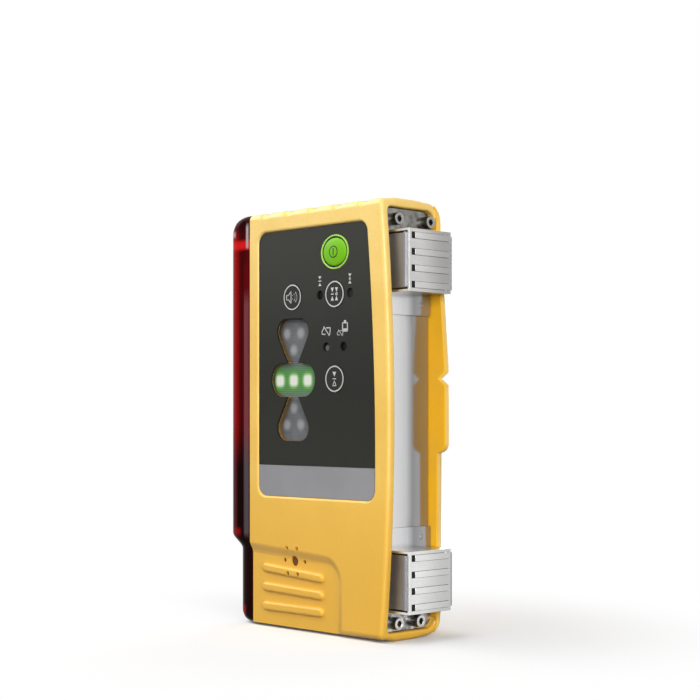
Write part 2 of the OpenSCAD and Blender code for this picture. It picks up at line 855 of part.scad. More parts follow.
module receiving_window() {
    color("darkred") place() difference() {
        window_solid(0);
        window_solid(window_wall);
        wide(-body_w - rim_seat, overrun - body_w) window_rim(rim_seat);
    }
}

module window_gasket() {
    color("black") place() difference() {
        wide(-body_w - rim_seat, -body_w) window_rim(rim_seat);
        wide(-body_w - rim_seat - overrun, overrun - body_w) window_rim(window_wall);
    }
}

// Dark carrier on the left wall; its rib holds the sensor board in the middle of the window
module sensor_carrier() {
    front = grip_depth + window_wall + carrier_gap;
    color("black") place() {
        box([-body_w - carrier_t, front, window_wall + carrier_in],
            [-body_w, body_d - window_wall - carrier_in, body_h - window_wall - carrier_in]);
        translate([-body_w - carrier_t - carrier_rib, (body_d - carrier_rib_w) / 2, sensor_foot_z])
            cube([carrier_rib, carrier_rib_w, body_h - sensor_top_in - sensor_foot_z]);
    }
}

sensor_x = -body_w - carrier_t - carrier_rib;

module sensor_board() {
    color("darkgreen") place()
        translate([sensor_x - board_t, (body_d - sensor_board_w) / 2, sensor_foot_z])
            cube([board_t, sensor_board_w, body_h - sensor_top_in - sensor_foot_z]);
}

module photodiodes() {
    color("dimgray") place() for (i = [0 : diode_n - 1]) {
        z = sensor_foot_z + i * diode_pitch + diode_pitch / 2;
        translate([sensor_x - board_t - diode_t, (body_d - diode_w) / 2, z - diode_h / 2])
            cube([diode_t, diode_w, diode_h]);
    }
}

module panel_plate() {
    color("darkslategray") place() difference() {
        deep(panel_recess, panel_back) intersection() {
            panel_outline(seat);
            translate([-panel_left, panel_z + strip_h]) square([panel_left, panel_top_z]);
        }
        deep(0, front_wall) display_outline(0);
        deep(0, front_wall) control_openings();
        deep(0, front_wall) translate(power_at)
            oblong([power_ring_w + 2 * seat, power_ring_h + 2 * seat]);
    }
}

module panel_strip() {
    color("gray") place() deep(panel_recess, panel_back) intersection() {
        panel_outline(seat);
        translate([-panel_left, panel_z]) square([panel_left, strip_h - seat]);
    }
}

module display_window() {
    color("slategray") place() {
        deep(display_y, front_wall) display_outline(-seat);
        deep(front_wall, front_wall + display_flange_t) display_outline(display_flange);
    }
}

// Lamp places: a row of three in the bar, and a pair and a single one in each lobe
level_places = [for (i = [-1, 0, 1]) [-display_x + i * lamp_pitch, display_z]];
function lobe_places(s) = [
    [-display_x - lamp_pair / 2, display_z + s * lamp_outer],
    [-display_x + lamp_pair / 2, display_z + s * lamp_outer],
    [-display_x, display_z + s * lamp_inner]
];

module lamps(places) {
    for (at = places) bar_y(at, board_y - lamp_h, board_y, lamp_d);
}

module level_lamps() color("lime") place() lamps(level_places);
module high_lamps() color("lightgray") place() lamps(lobe_places(1));
module low_lamps() color("lightgray") place() lamps(lobe_places(-1));

module lamp_baffle() {
    color("black") place() difference() {
        deep(front_wall + display_flange_t, board_y) display_outline(display_flange);
        for (at = concat(level_places, lobe_places(1), lobe_places(-1)))
            bar_y(at, front_wall, board_y + overrun, lamp_d + 2 * baffle_gap);
    }
}

// The shared back end of a key: lip behind the wall and stem towards its switch
module key_back(travel) {
    lip_y = front_wall + key_lip_gap;
    deep(lip_y, lip_y + key_lip_t) children();
    deep(lip_y, switch_y - travel - press_gap) circle(d = key_stem_d);
}

module power_button() {
    dome_r = (pow(power_w / 2, 2) + pow(power_dome, 2)) / (2 * power_dome);
    color("yellowgreen") place() {
        intersection() {
            deep(-overrun, front_wall + key_lip_gap) translate(power_at) oblong([power_w, power_h]);
            translate([power_at[0], dome_r - power_proud, power_at[1]]) sphere(dome_r, $fn = arc_fn / 4);
        }
        translate([power_at[0], 0, power_at[1]])
            key_back(power_travel) oblong([power_w + 2 * key_lip, power_h + 2 * key_lip]);
    }
}

module power_ring() {
    color("limegreen") place() deep(panel_recess - key_proud, panel_back) translate(power_at)
        difference() {
            oblong([power_ring_w, power_ring_h]);
            oblong([power_ring_w - 2 * power_rim, power_ring_h - 2 * power_rim]);
        }
}

module round_key(at) {
    color("dimgray") place() {
        bar_y(at, panel_recess - key_proud, front_wall + key_lip_gap, key_d);
        translate([at[0], 0, at[1]]) key_back(key_travel) circle(d = key_d + 2 * key_lip);
    }
}

module sound_key() round_key(sound_at);
module precision_key() round_key(precision_at);
module zero_key() round_key(zero_at);

module indicator_lenses() {
    color("black") place() for (at = indicator_places) {
        bar_y(at, panel_recess + indicator_recess, board_y, indicator_d - 2 * seat);
        bar_y(at, front_wall, front_wall + indicator_collar_t, indicator_d + 2 * indicator_collar);
    }
}

module main_board() {
    color("green") place() difference() {
        box([-board_left, board_y, board_foot_z], [-board_right, board_y + board_t, board_top_z]);
        for (at = board_places)
            bar_y(at, board_y - overrun, board_y + board_t + overrun, board_screw_d + 2 * running);
    }
}

module tact_switches() {
    color("silver") place() for (at = concat(key_places, [power_at])) {
        translate([at[0] - switch_w / 2, switch_y + switch_tip_h, at[1] - switch_w / 2])
            cube([switch_w, switch_h - switch_tip_h, switch_w]);
        bar_y(at, switch_y, switch_y + switch_tip_h, switch_tip_d);
    }
}

module board_screws() {
    back = board_y + board_t;
    color("silver") place() for (at = board_places) {
        bar_y(at, board_y - board_screw_len + seat, back, board_screw_d);
        bar_y(at, back, back + board_screw_head_h, board_screw_head_d);
    }
}

module speaker_mesh() {
    color("saddlebrown") place()
        bar_y([-display_x, speaker_z], front_wall, front_wall + mesh_t, buzzer_d);
}

module buzzer() {
    color("black") place()
        bar_y([-display_x, speaker_z], front_wall + mesh_t, front_wall + mesh_t + buzzer_h, buzzer_d);
}

module battery_tray() {
    color("black") place() difference() {
        translate([cavity_mid - tray_w / 2, tray_y, tray_z]) cube([tray_w, seam_y - tray_y, tray_h]);
        deep(tray_y + tray_wall, seam_y + overrun) tray_opening(0);
    }
}

// Upright cells side by side, every second one turned over
module battery_cells() {
    color("darkorange") place() for (i = [0 : cells_fit - 1]) {
        x = cavity_mid + (i - (cells_fit - 1) / 2) * cell_pitch;
        up = i % 2 == 0;
        translate([x, cell_y, cell_z + (up ? spring_len : 0)]) {
            translate([0, 0, up ? 0 : cell_tip_h]) cylinder(h = cell_len - cell_tip_h, d = cell_d);
            translate([0, 0, up ? cell_len - cell_tip_h : 0]) cylinder(h = cell_tip_h, d = cell_tip_d);
        }
    }
}

module battery_contacts() {
    color("silver") place() for (i = [0 : cells_fit - 1]) {
        x = cavity_mid + (i - (cells_fit - 1) / 2) * cell_pitch;
        up = i % 2 == 0;
        for (z = [cell_z - contact_t, cell_z + cell_len + spring_len])
            translate([x - contact_w / 2, cell_y - contact_w / 2, z])
                cube([contact_w, contact_w, contact_t]);
        ends = up ? [spring_d, spring_tip_d] : [spring_tip_d, spring_d];
        translate([x, cell_y, up ? cell_z : cell_z + cell_len])
            cylinder(h = spring_len, d1 = ends[0], d2 = ends[1]);
    }
}

module battery_cover() {
    at = [cavity_mid, cover_screw_z];
    plate_y = cover_y + seal_t;
    left = cavity_mid - hinge_len / 2;
    right = cavity_mid + hinge_len / 2;
    color("gold") place() difference() {
        union() {
            deep(plate_y, body_d) pocket_outline(cover_gap, cover_foot_gap);
            deep(seam_y + cover_gap, plate_y) tray_opening(cover_gap);
            translate([cavity_mid - pocket_w / 2 + ledge_w, cover_y, tray_z + tray_h + ledge_w])
                cube([pocket_w - 2 * ledge_w, seal_t, screw_tab - 2 * ledge_w]);
            bar_x([hinge_y, hinge_z], left, right, 2 * barrel_r);
            box([left, plate_y, hinge_z], [right, body_d, tray_z]);
        }
        bar_x([hinge_y, hinge_z], left - overrun, right + overrun, hinge_pin_d + 2 * running);
        bar_y(at, seam_y, body_d + overrun, cover_shank_d + 2 * running);
        bar_y(at, body_d - cover_head_t, body_d + overrun, cover_screw_d + 2 * cover_gap);
    }
}

module cover_gasket() {
    rim = ledge_w - 2 * cover_gap;
    color("black") place() deep(cover_y, cover_y + seal_t) difference() {
        tray_opening(-rim);
        tray_opening(-cover_gap);
    }
}

module cover_screw() {
    at = [cavity_mid, cover_screw_z];
    color("silver") place() difference() {
        union() {
            bar_y(at, body_d - cover_head_t, body_d - seat, cover_screw_d);
            bar_y(at, body_d - cover_head_t - cover_shank_len, body_d - cover_head_t, cover_shank_d);
        }
        deep(body_d - coin_slot_depth, body_d + overrun) translate(at)
            square([cover_screw_d + overrun, coin_slot_w], center = true);
    }
}

module hinge_pin() {
    color("silver") place()
        bar_x([hinge_y, hinge_z], cavity_mid - hinge_len / 2 - pin_seat + seat,
              cavity_mid + hinge_len / 2 + pin_seat - seat, hinge_pin_d);
}

// Bores for the cap screws and rivets in whatever lies on the channel floor
module floor_bores() {
    for (at = cap_places) bar_x(at, -floor_in - overrun, magnet_out, cap_thread_d + 2 * running);
    for (at = rivet_places) bar_x(at, -floor_in - overrun, magnet_out, rivet_d + 2 * running);
}

module mounting_plate() {
    color("silver") place() difference() {
        wide(-floor_in, plate_x) channel_side(plate_gap);
        floor_bores();
    }
}

module cap_screws() {
    color("lightgray") place() for (at = cap_places) {
        bar_x(at, bracket_x - cap_len, bracket_x, cap_thread_d);
        difference() {
            bar_x(at, bracket_x, bracket_x + cap_h, cap_d);
            wide(bracket_x + cap_h - hex_depth, bracket_x + cap_h + overrun)
                translate(at) circle(d = hex_w / cos(30), $fn = 6);
        }
    }
}

module bracket_rivets() {
    color("silver") place() for (at = rivet_places) {
        bar_x(at, cavity_right, bracket_x, rivet_d);
        bar_x(at, bracket_x, bracket_x + rivet_head_h, rivet_head_d);
    }
}

// A bracket fills the channel floor between two heights
module bracket(z0, z1) {
    color("silver") place() difference() {
        wide(plate_x, bracket_x) intersection() {
            channel_side(plate_gap);
            translate([0, z0]) square([body_d, z1 - z0]);
        }
        floor_bores();
    }
}

// The magnet's block with the flange under the strap
module magnet(z0) {
    low = z0 + strap_t + pad_t;
    high = z0 + magnet_h - strap_t - pad_t;
    color("gray") place() {
        box([bracket_x, magnet_y + block_in, low],
            [flange_x - sheet_pad_t, magnet_y + magnet_w - block_in, high]);
        box([flange_x, magnet_y - flange_out, low],
            [flange_x + flange_t, magnet_y + magnet_w + flange_rear, high]);
    }
}

// Places of the pole bars' feet
function pole_feet(z0) = [
    for (i = [0 : pole_n - 1]) z0 + magnet_h / 2 + (i - (pole_n - 1) / 2) * pole_pitch - pole_h / 2
];

module pole_bars(z0) {
    color("lightgray") place() for (z = pole_feet(z0))
        box([flange_x + flange_t, magnet_y + pole_margin_in + pole_slot, z],
            [magnet_out, magnet_y + magnet_w - pole_margin_out, z + pole_h]);
}

// Steel strap over the magnet, open where the pole bars come through
module strap(z0) {
    color("silver") place() difference() {
        box([bracket_x, magnet_y, z0], [strap_x, magnet_y + magnet_w, z0 + magnet_h]);
        box([bracket_x - overrun, magnet_y - overrun, z0 + strap_t],
            [strap_x - strap_t, magnet_y + magnet_w + overrun, z0 + magnet_h - strap_t]);
        for (z = pole_feet(z0))
            box([bracket_x, magnet_y + pole_margin_in, z - seat],
                [magnet_out, magnet_y + magnet_w - pole_margin_out + seat, z + pole_h + seat]);
    }
}

// Rubber above, below and in front of the block
module pads(z0) {
    front = magnet_y + block_in + pad_in;
    rear = magnet_y + magnet_w - block_in - pad_in;
    color("black") place() {
        for (z = [z0 + strap_t, z0 + magnet_h - strap_t - pad_t])
            box([bracket_x, front, z], [flange_x - sheet_pad_t, rear, z + pad_t]);
        box([flange_x - sheet_pad_t, front, z0 + strap_t + pad_t],
            [flange_x, rear, z0 + magnet_h - strap_t - pad_t]);
    }
}

module upper_bracket() bracket(magnet_high_z - bracket_tail, body_h);
module upper_magnet() magnet(magnet_high_z);
module upper_pole_bars() pole_bars(magnet_high_z);
module upper_strap() strap(magnet_high_z);
module upper_pads() pads(magnet_high_z);
module lower_bracket() bracket(0, magnet_low_z + magnet_h + bracket_tail);
module lower_magnet() magnet(magnet_low_z);
module lower_pole_bars() pole_bars(magnet_low_z);
module lower_strap() strap(magnet_low_z);
module lower_pads() pads(magnet_low_z);

front_shell();
rear_cover();
housing_gasket();
housing_screws();
receiving_window();
window_gasket();
sensor_carrier();
sensor_board();
photodiodes();
panel_plate();
panel_strip();
display_window();
lamp_baffle();
level_lamps();
high_lamps();
low_lamps();
power_button();
power_ring();
sound_key();
precision_key();
zero_key();
indicator_lenses();
main_board();
tact_switches();
board_screws();
buzzer();
speaker_mesh();
battery_tray();
battery_cells();
battery_contacts();
battery_cover();
cover_gasket();
cover_screw();
hinge_pin();
mounting_plate();
cap_screws();
bracket_rivets();
upper_bracket();
upper_magnet();
upper_pole_bars();
upper_strap();
upper_pads();
lower_bracket();
lower_magnet();
lower_pole_bars();
lower_strap();
lower_pads();
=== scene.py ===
"""Looks of an upright laser receiver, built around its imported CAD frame.

The housing's own millimetres are used for places: X runs to the mounting side from the
right-hand front corner, Y to the rear from the front face, Z up from the base.
"""

import functools
import json
import math

import bmesh
import bpy
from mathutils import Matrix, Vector


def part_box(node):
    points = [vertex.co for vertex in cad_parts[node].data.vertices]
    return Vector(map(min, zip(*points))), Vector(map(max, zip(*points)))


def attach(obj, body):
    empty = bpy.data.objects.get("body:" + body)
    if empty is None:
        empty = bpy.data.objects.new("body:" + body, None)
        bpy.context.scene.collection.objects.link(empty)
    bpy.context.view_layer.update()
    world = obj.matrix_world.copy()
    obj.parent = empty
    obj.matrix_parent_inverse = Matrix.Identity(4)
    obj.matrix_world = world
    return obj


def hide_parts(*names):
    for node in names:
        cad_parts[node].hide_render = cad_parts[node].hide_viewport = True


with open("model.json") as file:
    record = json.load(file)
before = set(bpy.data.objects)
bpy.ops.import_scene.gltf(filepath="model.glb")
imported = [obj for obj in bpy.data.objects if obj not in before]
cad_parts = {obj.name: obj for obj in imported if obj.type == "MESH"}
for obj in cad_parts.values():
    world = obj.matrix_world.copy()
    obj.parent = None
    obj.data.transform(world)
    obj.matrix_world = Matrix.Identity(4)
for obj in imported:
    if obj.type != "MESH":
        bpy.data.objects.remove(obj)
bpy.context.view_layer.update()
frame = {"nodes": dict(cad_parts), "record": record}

MM = 0.001
X, Y, Z = range(3)

# Sizes shared with the part, in millimetres
BODY_W, BODY_D, BODY_H = 88.0, 37.5, 190.0
TOP_Z, BASE_Z, CHANNEL_IN = 192.1, -1.9, 2.0
FRONT_WALL, REAR_WALL = 4.2, 3.2
SEAM_Y = BODY_D - REAR_WALL
PANEL_Y, KEY_Y, DISPLAY_Y = 0.7, 0.5, 3.2
GRIP_DEPTH, GRIP_X, GRIP_H, GRIP_FALL, GRIP_R = 2.1, 27.6, 35.0, 3.5, 10.0
RIB_PROUD = 1.5
PANEL_LEFT, PANEL_RIGHT = 82.2, 5.4
PANEL_FOOT, PANEL_TOP = 59.5, 182.0
KEY_X = -(PANEL_RIGHT + 0.33 * (PANEL_LEFT - PANEL_RIGHT))
DISPLAY_X = -(PANEL_RIGHT + 0.695 * (PANEL_LEFT - PANEL_RIGHT))
KEY_Z, DISPLAY_Z, POWER_Z = 151.0, 113.2, 169.8
INDICATOR_X = 9.7
SPEAKER_Z = 30.0
TAB_OUT, TAB_FOOT_Z = 5.0, BODY_H - 110
GROOVE_N, GROOVE_X, GROOVE_PITCH = 5, 13.2, 16.1

# Crowned ends: how far each falls away at the front and at the rear, and where it is cut across
TOP_CROWN, BASE_CROWN = (0.8, 0.45), (1.2, 0.7)
CROWN_CUTS = (4, 5.5, 7, 8.5, 10, 11.5, 20.5, 23, 25.5, 28, 30.5)

# Lamps behind the display, and its fine ribs
RIB_PITCH = 0.86
LAMP_X, LEVEL_Z, LOBE_Z = DISPLAY_X - 1.95, DISPLAY_Z - 0.3, DISPLAY_Z + 0.4
LEVEL_LAMPS = [(LAMP_X + i * 9.4, LEVEL_Z) for i in (-1, 0, 1)]
LOBE_LAMPS = [(LAMP_X + x, LOBE_Z + side * z) for side in (1, -1)
              for x, z in ((-4.75, 21), (4.75, 21), (0, 13.3))]

shell_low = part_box("front_shell")[0]
CORNER = Vector((shell_low.x / MM + BODY_W, shell_low.y / MM, shell_low.z / MM - BASE_Z))


def place(x, y, z):
    """A place in the housing's millimetres, as a point of the row frame."""
    return (CORNER + Vector((x, y, z))) * MM


def spot(axis, mm):
    """A place along one of the housing's axes, in the row frame."""
    return place(mm, mm, mm)[axis]


def housing(co):
    """A point of the row frame, in the housing's millimetres."""
    return co / MM - CORNER


def near(a, b, slack=0.03):
    return abs(a - b) < slack


def ease(low, high, value):
    """A smooth rise from 0 at low to 1 at high."""
    share = min(max((value - low) / (high - low), 0.0), 1.0)
    return share * share * (3 - 2 * share)


def crown(y, front, rear):
    """How far a crowned end has fallen away at a depth."""
    return front * (1 - ease(3, 11, y)) + rear * ease(21, 31, y)


def turns(steps):
    """Cosine and sine at even steps all round."""
    return [(math.cos(math.tau * i / steps), math.sin(math.tau * i / steps)) for i in range(steps)]


def oval(x, y, z, half_wide, half_tall, steps):
    """Points round an upright oval."""
    return [place(x + half_wide * c, y, z + half_tall * s) for c, s in turns(steps)]


def colour(code):
    """A written colour as linear values with alpha."""
    parts = [int(code[i:i + 2], 16) / 255 for i in (0, 2, 4)]
    return [p / 12.92 if p <= 0.04045 else ((p + 0.055) / 1.055) ** 2.4 for p in parts] + [1.0]


def grey(value):
    return value, value, value, 1


# Materials

class Nodes:
    """A node tree; every value is a number, a colour or a socket."""

    def __init__(self, tree):
        self.tree = tree

    def wire(self, socket, value):
        if isinstance(value, bpy.types.NodeSocket):
            self.tree.links.new(value, socket)
        else:
            socket.default_value = value

    def add(self, kind, inputs=None, **settings):
        """Adds a node; inputs are keyed by socket name or number."""
        made = self.tree.nodes.new(kind)
        for name, value in settings.items():
            setattr(made, name, value)
        for key, value in (inputs or {}).items():
            self.wire(made.inputs[key], value)
        return made

    def calc(self, operation, *values):
        return self.add("ShaderNodeMath", dict(enumerate(values)), operation=operation).outputs[0]

    def join(self, operation, values):
        """All values taken together by one operation."""
        return functools.reduce(functools.partial(self.calc, operation), values)

    def times(self, *values):
        return self.join("MULTIPLY", values)

    def step(self, value, low, high, out_low=0.0, out_high=1.0):
        """A smooth change from out_low at low to out_high at high."""
        limits = {"From Min": low, "From Max": high, "To Min": out_low, "To Max": out_high}
        made = self.add("ShaderNodeMapRange", {"Value": value, **limits}, interpolation_type="SMOOTHSTEP")
        return made.outputs["Result"]

    def band(self, value, middle, inner, outer, low=0.0):
        """1 within inner of the middle, falling smoothly to low at outer."""
        off = self.calc("ABSOLUTE", self.calc("SUBTRACT", value, middle))
        return self.step(off, inner, outer, 1.0, low)

    def length(self, vector):
        return self.add("ShaderNodeVectorMath", {0: vector}, operation="LENGTH").outputs["Value"]

    def mix(self, share, first, second):
        """A blend of two colours, which may be written ones."""
        pair = [colour(c) if isinstance(c, str) else c for c in (first, second)]
        made = self.add("ShaderNodeMix", {"Factor": share, 6: pair[0], 7: pair[1]}, data_type="RGBA")
        return made.outputs[2]

    def ramp(self, share, stops):
        """A colour ramp with a written colour at each position."""
        made = self.add("ShaderNodeValToRGB", {"Fac": share})
        elements = made.color_ramp.elements
        while len(elements) < len(stops):
            elements.new(1.0)
        for element, (position, code) in zip(elements, stops.items()):
            element.position = position
            element.color = colour(code)
        return made.outputs["Color"]

    def seen(self):
        """1 for rays from the camera, off gloss or through clear pieces, else 0."""
        path = self.add("ShaderNodeLightPath").outputs
        return self.join("MAXIMUM", [path["Is %s Ray" % way] for way in ("Camera", "Glossy", "Transmission")])


class Finish(Nodes):
    """A material whose tones are placed by the part's own coordinates."""

    def __init__(self, name):
        self.material = bpy.data.materials.new(name)
        self.material.use_nodes = True
        super().__init__(self.material.node_tree)
        self.shader = self.tree.nodes["Principled BSDF"]
        self.coords = self.add("ShaderNodeTexCoord").outputs["Object"]
        self.axes = self.add("ShaderNodeSeparateXYZ", {"Vector": self.coords}).outputs

    def along(self, axis, low, high, out_low=0.0, out_high=1.0):
        """A smooth change along an axis, between two places in the housing's millimetres."""
        return self.step(self.axes[axis], spot(axis, low), spot(axis, high), out_low, out_high)

    def strip(self, axis, middle, inner, outer, low=0.0):
        """A band across an axis, in the housing's millimetres."""
        return self.band(self.axes[axis], spot(axis, middle), inner * MM, outer * MM, low)

    def wave(self, axis, pitch):
        return self.calc("SINE", self.times(self.axes[axis], math.tau / (pitch * MM)))

    def attribute(self, name):
        return self.add("ShaderNodeAttribute", attribute_name=name).outputs["Fac"]

    def noise(self, size_mm, detail=3.0, stretch=None):
        """A noise whose features are about size_mm across, drawn out along one axis if asked."""
        coords = self.coords
        if stretch:
            coords = self.add("ShaderNodeMapping", {"Vector": coords, "Scale": stretch}).outputs[0]
        inputs = {"Vector": coords, "Scale": 1 / (size_mm * MM), "Detail": detail}
        return self.add("ShaderNodeTexNoise", inputs).outputs["Fac"]

    def spread(self, texture, low=0.0, high=1.0):
        """A value that follows a texture between two limits."""
        return self.step(texture, 0.3, 0.7, low, high)

    def discs(self, places, inner, outer):
        """Soft discs round places on the front, by an inner and an outer radius."""
        found = []
        for x, z in places:
            shift = self.add("ShaderNodeMapping", {"Vector": self.coords, "Location": -place(x, 0, z)}).outputs[0]
            flat = self.add("ShaderNodeVectorMath", {0: shift, 1: (1, 0, 1)}, operation="MULTIPLY").outputs[0]
            found.append(self.step(self.length(flat), inner * MM, outer * MM, 1.0, 0.0))
        return self.join("MAXIMUM", found)

    def squares(self, places, wide, tall):
        """Soft squares round places; wide and tall each give an inner and an outer half size."""
        return self.join("MAXIMUM", [
            self.times(self.strip(X, x, *wide), self.strip(Z, z, *tall)) for x, z in places])

    def feed(self, **inputs):
        """Sets inputs of the shader; an underscore stands for a space."""
        for name, value in inputs.items():
            self.wire(self.shader.inputs[name.replace("_", " ")], value)

    def bump(self, height, strength, depth_mm):
        inputs = {"Height": height, "Strength": strength, "Distance": depth_mm * MM}
        self.feed(Normal=self.add("ShaderNodeBump", inputs).outputs["Normal"])

    def look(self, base, rough=0.5, specular=0.5, metallic=0.0):
        self.feed(Base_Color=base, Roughness=rough, Specular_IOR_Level=specular, Metallic=metallic)
        return self.material


def moulded(name, pale, deep, rough, grain_mm=0.5, bump=0.25, depth_mm=0.06, specular=0.5):
    """Moulded plastic: two close tones in soft patches, with an even eroded grain."""
    f = Finish(name)
    grain = f.noise(grain_mm, 2.0)
    f.bump(grain, bump, depth_mm)
    base = f.mix(f.step(f.noise(22), 0.35, 0.65), pale, deep)
    return f.look(base, f.spread(grain, rough - 0.05, rough + 0.05), specular)


def yellow_grain(name, tone, specular):
    """Yellow moulding: a tone given by the place, in which light and shade are painted, with soft patches and an
    even eroded grain.
    """
    f = Finish(name)
    grain = f.noise(0.7, 2.0)
    f.bump(grain, 0.8, 0.09)
    base = f.mix(f.step(f.noise(22), 0.35, 0.65, 0.0, 0.3), tone(f), "E8B23C")
    base = f.mix(f.step(grain, 0.55, 0.75, 0.0, 0.25), base, "DCA634")
    return f.look(base, f.spread(grain, 0.35, 0.45), specular)


def shell_tone_painted_light(f):
    """Front tub: paler and creamier towards the top and darker at the bottom, as painted light falling from above.
    """
    return f.ramp(f.along(Z, 0, TOP_Z), {
        0: "E8B236", 0.2: "F2BE48", 0.3: "F6C95C", 0.5: "F6C95C", 0.8: "F7CD68", 1: "F8D478"})


def cover_tone_painted_light(f):
    """Rear cover: a deep saturated tone on the inner face beside the channel as painted bounce light between the
    yellow walls, and a paler band along the open edge as a painted highlight.
    """
    outer = f.mix(f.along(X, -3, -1), "F3BB40", "FAD47C")
    return f.mix(f.along(Y, SEAM_Y + 0.25, SEAM_Y + 1.0), "FDBC14", outer)


def brushed(name, pale, deep, rough, stretch, line_mm=0.14, bump=0.04, metallic=1.0, rear=None):
    """Brushed metal: fine lines drawn out along one direction; 'rear' is its tone towards the rear."""
    f = Finish(name)
    lines = f.noise(line_mm, 2.0, stretch)
    f.bump(lines, bump, 0.01)
    mixed = f.calc("ADD", f.times(lines, 0.6), f.times(f.noise(9), 0.4))
    base = f.mix(f.spread(mixed), deep, pale)
    if rear:
        base = f.mix(f.along(Y, 10, 30), base, rear)
    return f.look(base, f.spread(lines, rough - 0.04, rough + 0.04), metallic=metallic)


def panel_finish():
    """Dark printed film, a little paler towards its top as painted light falling from above."""
    f = Finish("dark_panel_film")
    grain = f.noise(0.3, 2.0)
    f.bump(grain, 0.12, 0.02)
    cloud = f.times(f.calc("SUBTRACT", f.noise(40), 0.5), 0.3)
    up = f.calc("ADD", f.along(Z, PANEL_FOOT, PANEL_TOP), cloud)
    tone = f.ramp(up, {0: "24241F", 0.35: "1C1D18", 0.65: "21221D", 1: "31312D"})
    return f.look(f.mix(f.spread(grain, 0.0, 0.12), tone, "40403C"), f.spread(grain, 0.48, 0.58), 0.15)


def plate_finish():
    """Satin sheet of the channel: pale at the front and darkest before the rear as a painted reflection, mottled
    and darker at its top end, mottled and brighter at its bottom end.
    """
    f = Finish("satin_channel_plate")
    lines, end_mottle = f.noise(0.4, 3.0, (1, 1, 0.05)), f.noise(3.0, 4.0)
    f.bump(lines, 0.03, 0.01)
    base = f.ramp(f.along(Y, 9, 34), {
        0: "DCDCDC", 0.35: "C4C5C6", 0.6: "8E8E90", 0.72: "949496", 1: "A4A4A6"})
    base = f.mix(f.step(lines, 0.2, 0.8, 0.0, 0.08), base, "8C8C8E")
    dull = f.ramp(end_mottle, {0.3: "4E4C48", 0.5: "7C7973", 0.7: "8E8C88"})
    base = f.mix(f.along(Z, 172, 177, 0.0, 0.9), base, dull)
    bright = f.ramp(end_mottle, {0.35: "4A4A4A", 0.5: "9C9C9C", 0.62: "D2D2D0"})
    base = f.mix(f.along(Z, 10, 14, 0.9, 0.0), base, bright)
    return f.look(base, f.spread(lines, 0.13, 0.19), metallic=0.85)


def cap_finish():
    """Turned screws: bright face and rim, darker sides and socket; the socket's dark is painted shade, and on the
    sides it stands for both a dark body and painted shade; the upper ones are duller.
    """
    f = Finish("turned_cap_screw")
    rings = f.noise(0.2, 2.0)
    f.bump(rings, 0.05, 0.01)
    bright = f.mix(f.along(Z, 80, 100), "D8D8D6", "9C9C9A")
    tone = f.mix(f.along(X, -0.42, -0.3), "5A5854", bright)
    return f.look(f.mix(f.spread(rings, 0.0, 0.15), tone, "8A8A8A"), f.spread(rings, 0.22, 0.32), metallic=1.0)


def lens_finish():
    """Dark indicator lenses; the lower left one shows a paler core, the upper right one is less deep."""
    f = Finish("dark_indicator_lens")
    patches = f.noise(1.2)
    base = f.mix(patches, "070707", "0E0E0E")
    base = f.mix(f.times(f.discs([(KEY_X + INDICATOR_X, KEY_Z)], 1.6, 2.4), 0.8), base, "2C2C28")
    base = f.mix(f.times(f.discs([(KEY_X - 5.5, 127.1)], 0.9, 1.8), 0.9), base, "70706A")
    return f.look(base, f.spread(patches, 0.24, 0.32), 0.1)


def display_finish():
    """Smoky ribbed window with blurred lamps behind it; the level bar is lit. Paler stripes along the ribs are
    painted highlights, and painted shade tinted amber runs along the left side.
    """
    f = Finish("smoky_ribbed_display")
    patches, ribs = f.noise(4), f.wave(Z, RIB_PITCH)
    smoke = f.mix(f.spread(patches), "5C5E60", "686A6C")
    # Painted highlights along the ribs.
    smoke = f.mix(f.step(ribs, -1, 1, 0.0, 0.22), smoke, "88898B")
    smoke = f.mix(f.times(f.discs(LOBE_LAMPS, 0.9, 3.6), 0.8), smoke, "A4A6A8")
    # Painted shade, tinted amber, along the left side beside the recess wall.
    smoke = f.mix(f.step(f.attribute("from_left"), 0.0, 2.6, 0.7, 0.0), smoke, "66533A")
    core = f.times(f.squares(LEVEL_LAMPS, (1.5, 3.8), (1.4, 3.6)), f.discs(LEVEL_LAMPS, 2.2, 4.4))
    lit = f.mix(f.discs(LEVEL_LAMPS, 2.0, 5.0), "347A30", "74B24E")
    lit = f.mix(core, lit, "E6E2DC")
    # Painted rib highlights over the lit bar.
    lit = f.mix(f.step(ribs, -1, 1, 0.0, 0.16), lit, "9ABF86")
    in_bar = f.times(f.strip(Z, LEVEL_Z, 3.0, 8.6), f.strip(X, LAMP_X, 11.0, 16.4, 0.1))
    f.feed(Emission_Color=lit, Emission_Strength=f.times(in_bar, 0.92))
    return f.look(f.mix(in_bar, smoke, "1A2C16"), f.spread(patches, 0.36, 0.44), 0.2)


